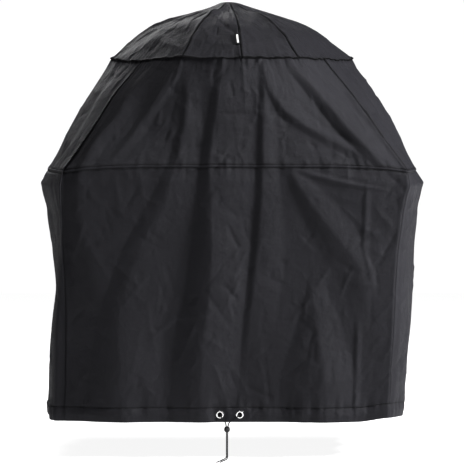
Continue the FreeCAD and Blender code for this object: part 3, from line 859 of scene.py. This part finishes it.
        # welts on the gore and corner seams, with painted shade along each seam line
        for column in self.gore_columns:
            away = np.abs(self.column_distance(column))
            welt = 0.0030 * np.exp(-((away / 0.008) ** 2)) - 0.0050 * np.exp(-((away / 0.0026) ** 2))
            lift += np.where(crown, welt, 0) * ease((self.v - 0.02) / 0.03)
            painted_seam_shade += np.where(crown, np.exp(-((away / 0.0022) ** 2)), 0)
        for column in self.corner_columns:
            away = np.abs(self.column_distance(column))
            welt = 0.0030 * np.exp(-((away / 0.009) ** 2)) - 0.0055 * np.exp(-((away / 0.0030) ** 2))
            upper = on_skirt & (np.arange(self.rows)[:, None] <= self.shoulder_row)
            lift += np.where(upper, welt, welt * 0.4 * on_skirt)
            line = np.exp(-((away / 0.0022) ** 2))
            painted_seam_shade += np.where(upper, line, line * 0.35 * on_skirt)
        # flat where the eyelets are pressed in
        for eyelet in EYELETS:
            away = np.hypot(x - eyelet.x, (z - eyelet.z) * 1.0)
            flat = ease((away - 0.013) / 0.022)
            lift = np.where(y < 0, lift * flat, lift)
        self.painted_seam_shade = np.clip(painted_seam_shade, 0, 1)
        moved = point + normal * lift[..., None]
        # the shoulder seam droops towards the sides, and the right side's hem rides up
        droop = np.where((side == 0) | (side == 2), np.abs(self.across[None, :]) ** 5, 1.0)
        near = np.exp(-(((z - SHOULDER) / 0.11) ** 2))
        moved[..., 2] -= np.where(on_skirt, 0.014 * droop * near, 0)
        right = np.where(side == 1, 1.0, np.where(side == 0, ease((self.across - 0.8) / 0.2), 0))
        moved[..., 2] += 0.010 * right * ease((-0.85 - z) / 0.25)
        tip = np.exp(-np.hypot(x, y) / 0.06)
        moved[..., 0] -= np.where(crown, 0.012 * tip, 0)
        self.cloth = moved
        self.cloth_normal = self.normals(moved)

    def patch(self, rows, columns):
        """The row and column numbers of one piece of the sheet; columns may wrap round."""
        row = np.arange(rows[0], rows[1] + 1)
        last = columns[1] if columns[1] > columns[0] else columns[1] + self.columns
        column = np.arange(columns[0], last + 1) % self.columns
        return np.meshgrid(row, column, indexing="ij")


# ------------------------------------------------------------------ making pieces


def clear_selection():
    bpy.ops.object.select_all(action="DESELECT")


def make_active(piece):
    clear_selection()
    piece.select_set(True)
    bpy.context.view_layer.objects.active = piece


def apply_modifier(piece, kind, **settings):
    made = piece.modifiers.new(kind.title(), kind)
    for key, value in settings.items():
        setattr(made, key, value)
    make_active(piece)
    bpy.ops.object.modifier_apply(modifier=made.name)


def grid_piece(name, points, weave, material, painted_seam_shade=None):
    """A cloth piece: a grid whose points are laid where the sheet has them."""
    rows, columns = points.shape[:2]
    clear_selection()
    bpy.ops.mesh.primitive_grid_add(
        x_subdivisions=columns - 1, y_subdivisions=rows - 1, size=1, calc_uvs=True
    )
    piece = bpy.context.object
    piece.name = piece.data.name = name
    mesh = piece.data
    flat = np.empty(len(mesh.vertices) * 3)
    mesh.vertices.foreach_get("co", flat)
    flat = flat.reshape(-1, 3)
    column = np.rint((flat[:, 0] + 0.5) * (columns - 1)).astype(int)
    row = np.rint((0.5 - flat[:, 1]) * (rows - 1)).astype(int)
    mesh.vertices.foreach_set("co", points[row, column].ravel())
    corner = np.empty(len(mesh.loops), int)
    mesh.loops.foreach_get("vertex_index", corner)
    layer = mesh.uv_layers[0]
    layer.name = "weave"
    layer.data.foreach_set("uv", weave[row, column][corner].ravel())
    # the painted seam shade, stored on the points for the cloth's base colour
    if painted_seam_shade is not None:
        layer = mesh.attributes.new("painted_seam_shade", "FLOAT", "POINT")
        layer.data.foreach_set("value", painted_seam_shade[row, column].ravel().astype(np.float32))
    mesh.update()
    mesh.shade_smooth()
    mesh.materials.append(material)
    return piece


def finish_piece(piece, body, slot, *nodes):
    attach(piece, body)
    if nodes:
        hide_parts(*nodes)
    return piece


def face_outwards(piece, outward):
    """Turns the faces over if they look away from the given directions on average."""
    mesh = piece.data
    normals = np.empty(len(mesh.polygons) * 3)
    mesh.polygons.foreach_get("normal", normals)
    if (normals.reshape(-1, 3) * outward).sum() < 0:
        mesh.flip_normals()


def lap_down(points, normals, drop, rise, reach=4):
    """The last rows swell out and run on past the seam, over the next piece."""
    count = len(points)
    rows = np.arange(count)
    swell = rise * ease((rows - (count - 1 - reach)) / reach)
    points = points + normals * swell[:, None, None]
    slope = points[-1] - points[-4]
    slope /= np.linalg.norm(slope, axis=1, keepdims=True)
    extra = [points[-1] + slope * drop * t for t in (0.5, 1.0)]
    tuck = extra[-1] - normals[-1] * rise * 0.9
    return np.concatenate([points, np.array([*extra, tuck])])


def cloth_piece(sheet, name, node, rows, columns, material, lap=None):
    """One cut piece of cloth, with its thickness, laid over its place on the sheet."""
    row, column = sheet.patch(rows, columns)
    points = sheet.cloth[row, column]
    # painted shade along the seams, carried with the piece
    painted_seam_shade = sheet.painted_seam_shade[row, column]
    if lap:
        points = lap_down(points, sheet.cloth_normal[row, column], *lap)
        painted_seam_shade = np.concatenate([painted_seam_shade, painted_seam_shade[-1:], painted_seam_shade[-1:], painted_seam_shade[-1:]])
    steps = np.linalg.norm(np.diff(points, axis=1), axis=2).mean(0)
    run = np.concatenate([[0], np.cumsum(steps)])
    down = np.linalg.norm(np.diff(points, axis=0), axis=2).mean(1)
    drop = np.concatenate([[0], np.cumsum(down)])
    width = np.linalg.norm(np.diff(points, axis=1), axis=2).sum(1)
    centred = (run - run[-1] / 2)[None, :] * (width / width.mean())[:, None]
    weave = np.stack([centred, np.broadcast_to(-drop[:, None], centred.shape)], 2)
    piece = grid_piece(name, points, weave, material, painted_seam_shade)
    middle = sheet.cloth_normal[row, column].reshape(-1, 3).mean(0)
    face_outwards(piece, middle)
    apply_modifier(piece, "SOLIDIFY", thickness=sheet.sizes.thickness, offset=-1.0)
    finish_piece(piece, "cover", "cover_cloth", node)
    return piece


SHEETS = {}


def the_sheet():
    if "cover" not in SHEETS:
        SHEETS["cover"] = Sheet(bpy.context.scene.cover_sizes)
    return SHEETS["cover"]


def the_finish(name, maker, *values):
    if name not in SHEETS:
        SHEETS[name] = maker(name, *values)
    return SHEETS[name]


def cover_cloth():
    return the_finish("coated cloth", cloth_finish, bpy.context.scene.cover_colours.cloth)


class BuildCrown(bpy.types.Operator):
    """Eight gores that meet at the crown's tip"""

    bl_idname = "cover.crown"
    bl_label = "Crown"

    def execute(self, context):
        sheet = the_sheet()
        for i, gore in enumerate(GORES):
            start = sheet.gore_columns[i]
            finish = sheet.gore_columns[(i + 1) % 8]
            cloth_piece(
                sheet, f"gore_{gore}", f"crown_gore_{gore}", (0, sheet.seam_row),
                (start, finish), cover_cloth(),
                (0.003, 0.0012),
            )
        return {"FINISHED"}


class BuildSkirt(bpy.types.Operator):
    """Four upper and four lower panels between the crown and the hem"""

    bl_idname = "cover.skirt"
    bl_label = "Skirt"

    def execute(self, context):
        sheet = the_sheet()
        for i, side in enumerate(SIDES):
            columns = (sheet.corner_columns[i], sheet.corner_columns[(i + 1) % 4])
            cloth_piece(
                sheet, f"upper_panel_{side}", f"upper_skirt_{side}",
                (sheet.seam_row, sheet.shoulder_row), columns, cover_cloth(),
                (0.003, 0.0014),
            )
            cloth_piece(
                sheet, f"lower_panel_{side}", f"lower_skirt_{side}",
                (sheet.shoulder_row, sheet.hem_row), columns, cover_cloth(),
            )
        return {"FINISHED"}


def hem_profile(sheet, columns, deep=0.0075):
    """Rows of the folded hem: down the outside, round the edge and up the inside."""
    row, column = sheet.patch((sheet.hem_row, sheet.edge_row), columns)
    outside = sheet.cloth[row, column]
    normal = sheet.cloth_normal[row, column].copy()
    normal[..., 2] = 0
    normal /= np.linalg.norm(normal, axis=2, keepdims=True)
    fall = (outside[0, :, 2] - outside[:, :, 2]) / (outside[0, :, 2] - outside[-1, :, 2])
    swell = 0.0022 * np.sin(np.pi * np.clip(fall, 0, 1)) ** 1.6
    keep = np.ones_like(swell)
    for eyelet in EYELETS:
        away = np.hypot(outside[..., 0] - eyelet.x, outside[..., 2] - eyelet.z)
        keep *= np.where(outside[..., 1] < 0, ease((away - 0.013) / 0.015), 1)
    outside = outside + normal * (swell * keep)[..., None]
    turn = []
    for angle in (30, 60, 90, 120, 150):
        inward = (1 - math.cos(math.radians(angle))) * deep / 2
        under = math.sin(math.radians(angle)) * deep / 2
        place = outside[-1] - normal[-1] * inward
        turn.append(place - np.array([0, 0, under]))
    inside = outside[::-3] - normal[::-3] * deep
    rows = np.concatenate([outside, np.array(turn), inside])
    return rows


class BuildHem(bpy.types.Operator):
    """The folded hem, a channel for the drawstring on each side"""

    bl_idname = "cover.hem"
    bl_label = "Hem"

    def execute(self, context):
        sheet = the_sheet()
        for i, side in enumerate(SIDES):
            columns = (sheet.corner_columns[i], sheet.corner_columns[(i + 1) % 4])
            points = hem_profile(sheet, columns)
            down = np.linalg.norm(np.diff(points, axis=0), axis=2).mean(1)
            drop = np.concatenate([[0], np.cumsum(down)])
            steps = np.linalg.norm(np.diff(points, axis=1), axis=2).mean(0)
            run = np.concatenate([[0], np.cumsum(steps)])
            weave = np.stack(np.meshgrid(run, -drop), 2)
            piece = grid_piece(f"hem_{side}", points, weave, cover_cloth())
            middle = np.array({"front": (0, -1, 0), "right": (1, 0, 0),
                               "back": (0, 1, 0), "left": (-1, 0, 0)}[side])
            outer = points[:8]
            face_hem(piece, middle, outer)
            if side == "front":
                open_for_eyelets(piece)
            apply_modifier(piece, "SOLIDIFY", thickness=0.0007, offset=-1.0)
            finish_piece(piece, "cover", "cover_cloth", f"hem_casing_{side}")
        return {"FINISHED"}


def face_hem(piece, middle, outer):
    """The hem's outer wall looks outwards."""
    mesh = piece.data
    far = float((outer.reshape(-1, 3) @ middle).mean())
    total = 0.0
    for face in mesh.polygons:
        if Vector(middle).dot(face.center) > far - 0.002 and face.center.z > EDGE + 0.004:
            total += face.normal.dot(Vector(middle))
    if total < 0:
        mesh.flip_normals()


def open_for_eyelets(piece):
    """Holes through the hem's outer wall, hidden under the eyelets' flanges."""
    mesh = bmesh.new()
    mesh.from_mesh(piece.data)
    taken = []
    for face in mesh.faces:
        centre = face.calc_center_median()
        for eyelet in EYELETS:
            away = math.hypot(centre.x - eyelet.x, centre.z - eyelet.z)
            if away < 0.0078 and centre.y < HEM_FRONT + 0.003:
                taken.append(face)
    bmesh.ops.delete(mesh, geom=taken, context="FACES")
    mesh.to_mesh(piece.data)
    mesh.free()


# ------------------------------------------------------------------ stitches


def stitch_row(places, normals, pitch, width):
    """Short raised stitches laid end to end along a line on the cloth."""
    steps = np.linalg.norm(np.diff(places, axis=0), axis=1)
    run = np.concatenate([[0], np.cumsum(steps)])
    count = int(run[-1] / pitch)
    points, faces = [], []
    ring = [(math.cos(a), math.sin(a)) for a in (0, math.pi / 3, 2 * math.pi / 3, math.pi)]
    for k in range(count):
        ends = []
        for t in (0.12, 0.35, 0.65, 0.88):
            at = (k + t) * pitch
            place = np.array([np.interp(at, run, places[:, c]) for c in range(3)])
            up = np.array([np.interp(at, run, normals[:, c]) for c in range(3)])
            ends.append((place, up / np.linalg.norm(up)))
        along = ends[3][0] - ends[0][0]
        along /= np.linalg.norm(along) + 1e-9
        first = len(points)
        for (place, up), thick, sink in zip(ends, (0.45, 1.0, 1.0, 0.45), (0.6, 0.0, 0.0, 0.6)):
            out = np.cross(along, up)
            for c, h in ring:
                rise = (h * thick - sink * 0.5) * width
                points.append(place + out * c * thick * width / 2 * 1.1 + up * rise * 0.8)
        for j in range(3):
            for i in range(3):
                a = first + j * 4 + i
                faces.append((a, a + 4, a + 5, a + 1))
        for base in (first, first + 12):
            quad = (base, base + 1, base + 2, base + 3)
            faces.append(quad if base == first else quad[::-1])
    return points, faces


def stitches(name, lines, pitch, width=0.0011):
    points, faces = [], []
    for places, normals in lines:
        new_points, new_faces = stitch_row(places, normals, pitch, width)
        shift = len(points)
        points += new_points
        faces += [tuple(i + shift for i in face) for face in new_faces]
    mesh = bpy.data.meshes.new(name)
    mesh.from_pydata([tuple(p) for p in points], [], faces)
    mesh.update()
    mesh.shade_smooth()
    piece = bpy.data.objects.new(name, mesh)
    bpy.context.collection.objects.link(piece)
    thread = the_finish("thread", thread_finish, bpy.context.scene.cover_colours.thread)
    mesh.materials.append(thread)
    return finish_piece(piece, "cover", "cover_cloth")


class BuildStitches(bpy.types.Operator):
    """Thread along every sewn line"""

    bl_idname = "cover.stitches"
    bl_label = "Stitches"

    def execute(self, context):
        sheet = the_sheet()
        pitch = context.scene.cover_sizes.stitch

        def across(row, shift=0.0):
            places = sheet.cloth[row] + sheet.cloth_normal[row] * 0.0002
            places = places + np.array([0, 0, shift])
            closed = np.concatenate([places, places[:1]])
            return closed, np.concatenate([sheet.cloth_normal[row], sheet.cloth_normal[row][:1]])

        def downward(column, first, last):
            places = sheet.cloth[first:last, column % sheet.columns]
            return places, sheet.cloth_normal[first:last, column % sheet.columns]

        felled = int(np.argmin(np.abs(sheet.heights - (SHOULDER - 0.010)))) + sheet.seam_row + 1
        stitches("stitches_shoulder", [across(sheet.shoulder_row), across(felled)], pitch)
        stitches("stitches_hem", [across(sheet.hem_row)], pitch)
        stitches("stitches_crown_edge", [across(sheet.seam_row - 2)], pitch)
        gores = [downward(c + 3, 8, sheet.seam_row - 3) for c in sheet.gore_columns]
        stitches("stitches_gores", gores, pitch)
        corners = [
            downward(c + 3, sheet.seam_row + 3, sheet.shoulder_row - 1)
            for c in sheet.corner_columns
        ]
        stitches("stitches_corners", corners, pitch)
        return {"FINISHED"}


# ------------------------------------------------------------------ drawstring and fittings


def cord_curve(name, points, diameter):
    """A round cord on a smooth line that is drawn by its route's points."""
    curve = bpy.data.curves.new(name, "CURVE")
    curve.dimensions = "3D"
    spline = curve.splines.new("NURBS")
    spline.points.add(len(points) - 1)
    for knot, point in zip(spline.points, points):
        knot.co = (*point, 1.0)
    spline.order_u = 3
    spline.use_endpoint_u = True
    curve.resolution_u = 8
    curve.bevel_depth = diameter / 2
    curve.bevel_resolution = 3
    curve.use_fill_caps = True
    piece = bpy.data.objects.new(name, curve)
    bpy.context.collection.objects.link(piece)
    return piece


class BuildDrawstring(bpy.types.Operator):
    """The cord in the hem, its two tails, the knot and the ends past it"""

    bl_idname = "cover.drawstring"
    bl_label = "Drawstring"

    def execute(self, context):
        wide = context.scene.cover_sizes.cord
        finish = the_finish("braided cord", cord_finish, context.scene.cover_colours.cord)
        sheet = the_sheet()
        pieces = {}
        for name, route in (
            ("tail_left", TAIL_LEFT), ("tail_right", TAIL_RIGHT),
            ("end_left", END_LEFT), ("end_right", END_RIGHT),
        ):
            points = [START + Vector(place) for place in route]
            pieces[name] = cord_curve(f"cord_{name}", points, wide)
            pieces[name].data.materials.append(finish)
            finish_piece(pieces[name], "cover", "drawstring_cord", f"drawstring_{name}")
        level = int(np.argmin(np.abs(sheet.heights - EYELETS[0].z))) + sheet.seam_row + 1
        inside = sheet.cloth[level] - sheet.cloth_normal[level] * 0.0036
        inside[:, 2] = EYELETS[0].z
        first = int(np.argmin(np.abs(inside[:, 0] - TAIL_RIGHT[0][0]) + 9 * (inside[:, 1] > 0)))
        order = [(first + 6 * k) % sheet.columns for k in range(sheet.columns // 6)]
        route = [Vector(inside[c]) for c in order]
        right_end, left_end = START + Vector(TAIL_RIGHT[0]), START + Vector(TAIL_LEFT[0])
        route = [p for p in route if p.y > -0.3 or not left_end.x - 0.004 < p.x < right_end.x + 0.004]
        hem = cord_curve("cord_in_hem", [right_end, *route, left_end], wide)
        hem.data.materials.append(finish)
        finish_piece(hem, "cover", "drawstring_cord", "drawstring_hem")
        knot = self.knot(finish, wide)
        lengths = {name: route_length(piece) for name, piece in pieces.items()}
        return {"FINISHED"}

    def knot(self, finish, wide):
        """An overhand knot: two strands wound once round themselves and pulled tight."""
        centre = (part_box("drawstring_knot")[0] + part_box("drawstring_knot")[1]) / 2
        points = []
        for i in range(19):
            turn = 2 * math.pi * i / 9
            reach = 0.0016 + 0.0006 * math.sin(turn * 1.5)
            height = 0.0032 - 0.0064 * i / 18
            points.append(centre + Vector((
                math.cos(turn) * reach * 1.15, math.sin(turn) * reach, height,
            )))
        knot = cord_curve("cord_knot", points, wide * 0.95)
        knot.data.materials.append(finish)
        return finish_piece(knot, "cover", "drawstring_cord", "drawstring_knot")


def route_length(piece):
    """The length of the smooth line that the curve follows."""
    plain = piece.copy()
    plain.data = piece.data.copy()
    plain.data.bevel_depth = 0
    bpy.context.collection.objects.link(plain)
    mesh = bpy.data.meshes.new_from_object(
        plain.evaluated_get(bpy.context.evaluated_depsgraph_get())
    )
    line = [v.co for v in mesh.vertices]
    total = sum((b - a).length for a, b in zip(line, line[1:]))
    bpy.data.meshes.remove(mesh)
    bpy.data.objects.remove(plain)
    return total


class BuildEyelets(bpy.types.Operator):
    """Rolled metal rings in the front hem"""

    bl_idname = "cover.eyelets"
    bl_label = "Eyelets"

    def execute(self, context):
        colour = context.scene.cover_colours.metal
        plate = the_finish("nickel plate", metal_finish, colour)
        for side, centre in zip(("left", "right"), EYELETS):
            low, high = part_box(f"eyelet_{side}")
            outer = (high.x - low.x) / 2
            bore = 0.0055
            front, back = low.y, high.y
            clear_selection()
            bpy.ops.mesh.primitive_torus_add(
                location=(centre.x, HEM_FRONT - 0.0001, centre.z),
                rotation=(math.pi / 2, 0, 0), major_segments=64, minor_segments=20,
                major_radius=(outer + bore) / 2, minor_radius=(outer - bore) / 2,
            )
            ring = bpy.context.object
            ring.name = f"eyelet_ring_{side}"
            bpy.ops.object.transform_apply(location=True, rotation=True, scale=True)
            for vertex in ring.data.vertices:
                rise = (vertex.co.y - HEM_FRONT) / ((outer - bore) / 2)
                vertex.co.y = HEM_FRONT + rise * (HEM_FRONT - front if rise < 0 else 0.0006)
            ring.data.shade_smooth()
            ring.data.materials.append(plate)
            tube = self.barrel(centre, bore, back)
            tube.data.materials.append(plate)
            make_active(ring)
            tube.select_set(True)
            bpy.ops.object.join()
            finish_piece(ring, "cover", "eyelet_metal", f"eyelet_{side}")
            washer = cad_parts[f"eyelet_washer_{side}"]
            dress(washer, plate)
        return {"FINISHED"}

    def barrel(self, centre, bore, back):
        """The barrel that passes through the cloth."""
        clear_selection()
        long = back - HEM_FRONT
        bpy.ops.mesh.primitive_cylinder_add(
            vertices=64, radius=bore + 0.0007, depth=long, end_fill_type="NOTHING",
            location=(centre.x, HEM_FRONT + long / 2, centre.z), rotation=(math.pi / 2, 0, 0),
        )
        tube = bpy.context.object
        bpy.ops.object.transform_apply(location=True, rotation=True, scale=True)
        apply_modifier(tube, "SOLIDIFY", thickness=0.0006, offset=-1.0)
        tube.data.shade_smooth()
        return tube


def dress(node, material):
    """Gives a CAD node its finish."""
    if node.material_slots:
        for slot in node.material_slots:
            slot.material = material
    else:
        node.data.materials.append(material)


class BuildCordLock(bpy.types.Operator):
    """Finishes for the cord lock's barrel, button and spring"""

    bl_idname = "cover.cord_lock"
    bl_label = "Cord lock"

    def execute(self, context):
        barrel = the_finish("lock barrel", plastic_finish, (0.022, 0.022, 0.024))
        button = the_finish("lock button", plastic_finish, (0.040, 0.040, 0.042))
        wire = the_finish("spring wire", metal_finish, (0.55, 0.55, 0.56), 0.3)
        for part, finish in (("body", barrel), ("plunger", button), ("spring", wire)):
            dress(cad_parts[f"cord_lock_{part}"], finish)
        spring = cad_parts["cord_lock_spring"]
        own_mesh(spring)
        return {"FINISHED"}


class BuildLabel(bpy.types.Operator):
    """The blank tape label, folded double, in the crown's front seam"""

    bl_idname = "cover.label"
    bl_label = "Label"

    def execute(self, context):
        sheet = the_sheet()
        colours = context.scene.cover_colours
        dark = the_finish("label tape", cloth_finish, shade(colours.cloth, 0.45), 0.0006)
        pale = the_finish("label stripe", cloth_finish, (0.80, 0.80, 0.80), 0.0006)
        column = sheet.gore_columns[0]
        row = np.arange(sheet.seam_row)
        z = sheet.cloth[row, column, 2]
        top, bottom = -0.091, -0.121
        count = 26
        levels = np.linspace(top, bottom, count)
        ends = [
            np.array([np.interp(-level, -z, sheet.cloth[row, column, c]) for c in range(3)])
            for level in (top, bottom)
        ]
        share = np.linspace(0, 1, count)[:, None]
        seam = ends[0] * (1 - share) + ends[1] * share
        slope = (ends[1] - ends[0]) / np.linalg.norm(ends[1] - ends[0])
        outward = np.cross(slope, (1.0, 0.0, 0.0))
        outward *= -np.sign(outward[1])
        normal = np.repeat(outward[None, :], count, 0)
        across = np.array([-1.0, -0.08, 0.0])
        wide, thick = 0.0135, 0.0009
        loop = []
        for t in np.linspace(0, 1, 11):
            loop.append((t * wide, thick))
        for angle in (30, 60, 90, 120, 150):
            a = math.radians(angle)
            loop.append((wide + math.sin(a) * thick / 2, thick * (0.5 + math.cos(a) / 2)))
        for t in np.linspace(1, 0, 11):
            loop.append((t * wide, 0.0))
        points = np.zeros((count, len(loop), 3))
        for j, (run, rise) in enumerate(loop):
            curl = 0.0012 * (run / wide) ** 2
            for k in range(count):
                wave = 0.0003 * math.sin(k * 0.5)
                points[k, j] = seam[k] + across * run + normal[k] * (rise + 0.0040 + curl + wave)
        run = np.array([r for r, _ in loop])
        weave = np.stack(np.meshgrid(run, levels), 2)
        label = grid_piece("tape_label", points, weave, dark)
        label.data.materials.append(pale)
        threads = label.data.uv_layers["weave"].data
        for face in label.data.polygons:
            places = [threads[i].uv for i in face.loop_indices]
            reach = sum(place.x for place in places) / len(places)
            level = sum(place.y for place in places) / len(places)
            if 0.0040 < reach < 0.0095 and bottom + 0.0035 < level < top - 0.0035:
                face.material_index = 1
        face_outwards(label, normal.mean(0) * 0 + np.array([0, -1.0, 0.3]))
        apply_modifier(label, "SOLIDIFY", thickness=0.0003, offset=-1.0)
        finish_piece(label, "cover", "label_tape", "loop_label")
        return {"FINISHED"}


# ------------------------------------------------------------------ stage


class BuildStage(bpy.types.Operator):
    """Floor, studio light and camera"""

    bl_idname = "cover.stage"
    bl_label = "Stage"

    def execute(self, context):
        self.floor(context.scene.cover_colours.floor)
        self.lights()
        self.sky()
        self.camera()
        return {"FINISHED"}

    def floor(self, colour):
        clear_selection()
        level = CAD_BOX[0][2] - 0.0004
        bpy.ops.mesh.primitive_circle_add(
            vertices=96, radius=7.0, fill_type="NGON", location=(0, 0, level)
        )
        floor = bpy.context.object
        floor.name = "studio_floor"
        bpy.ops.object.transform_apply(location=True, rotation=True, scale=True)
        finish = Finish("studio floor")
        finish.set(
            Base_Color=(*colour, 1.0), Roughness=0.9, Emission_Color=(1, 1, 1, 1),
            Emission_Strength=0.93,
        )
        floor.data.materials.append(finish.material)

    def light(self, name, place, target, size, power, tint=(1, 1, 1)):
        data = bpy.data.lights.new(name, "AREA")
        data.energy = power
        data.size = size
        data.color = tint
        lamp = bpy.data.objects.new(name, data)
        lamp.location = place
        lamp.rotation_euler = (Vector(target) - Vector(place)).to_track_quat("-Z", "Y").to_euler()
        bpy.context.collection.objects.link(lamp)

    def lights(self):
        middle = (0, 0, -0.6)
        self.light("key", (2.9, -1.30, 0.8), middle, 0.7, 216)
        self.light("fill", (1.6, -5.0, 0.8), middle, 3.0, 3)
        self.light("top", (-0.5, -0.55, 3.1), middle, 1.6, 88)
        self.light("back", (-1.2, 3.6, 1.6), middle, 2.0, 80)

    def sky(self):
        """White to the camera, and dimmer as a light."""
        world = bpy.data.worlds.new("studio")
        world.use_nodes = True
        tree = world.node_tree
        back = tree.nodes["Background"]
        path = tree.nodes.new("ShaderNodeLightPath")
        seen = tree.nodes.new("ShaderNodeMath")
        seen.operation = "MULTIPLY_ADD"
        seen.inputs[1].default_value = 0.96
        seen.inputs[2].default_value = 0.05
        tree.links.new(path.outputs["Is Camera Ray"], seen.inputs[0])
        tree.links.new(seen.outputs[0], back.inputs["Strength"])
        back.inputs["Color"].default_value = (1, 1, 1, 1)
        bpy.context.scene.world = world

    def camera(self):
        """Nine metres off, a little above the middle of the cover, with a long lens."""
        tilt, away, seen = math.radians(2.5), 9.0, 1.2528
        target = Vector((0, -0.35, -0.6246))
        forward = Vector((0, math.cos(tilt), -math.sin(tilt)))
        data = bpy.data.cameras.new("camera")
        data.sensor_width = 36.0
        data.lens = 36.0 * away / seen
        data.clip_end = 60.0
        camera = bpy.data.objects.new("camera", data)
        camera.location = target - forward * away
        camera.rotation_euler = forward.to_track_quat("-Z", "Y").to_euler()
        bpy.context.collection.objects.link(camera)
        bpy.context.scene.camera = camera
        bpy.context.scene.view_settings.view_transform = "Standard"
        bpy.context.scene.view_settings.gamma = 0.74


# ------------------------------------------------------------------ panel and registration

OPERATORS = [
    BuildStage, BuildCrown, BuildSkirt, BuildHem, BuildStitches, BuildDrawstring,
    BuildEyelets, BuildCordLock, BuildLabel,
]


class CoverPanel(bpy.types.Panel):
    """The cover's sizes, colours and build steps"""

    bl_idname = "VIEW3D_PT_grill_cover"
    bl_label = "Grill cover"
    bl_space_type = "VIEW_3D"
    bl_region_type = "UI"
    bl_category = "Grill cover"

    def draw(self, context):
        for group in (context.scene.cover_sizes, context.scene.cover_colours):
            box = self.layout.box()
            for name in group.__annotations__:
                box.prop(group, name)
        for operator in OPERATORS:
            self.layout.operator(operator.bl_idname)


CLASSES = [CoverSizes, CoverColours, *OPERATORS, CoverPanel]


def register():
    for made in CLASSES:
        bpy.utils.register_class(made)
    bpy.types.Scene.cover_sizes = PointerProperty(type=CoverSizes)
    bpy.types.Scene.cover_colours = PointerProperty(type=CoverColours)


def unregister():
    del bpy.types.Scene.cover_colours
    del bpy.types.Scene.cover_sizes
    for made in reversed(CLASSES):
        bpy.utils.unregister_class(made)


def main():
    register()
    bpy.ops.cover.stage()
    bpy.ops.cover.crown()
    bpy.ops.cover.skirt()
    bpy.ops.cover.hem()
    bpy.ops.cover.stitches()
    bpy.ops.cover.drawstring()
    bpy.ops.cover.eyelets()
    bpy.ops.cover.cord_lock()
    bpy.ops.cover.label()


if __name__ == "__main__":
    main()
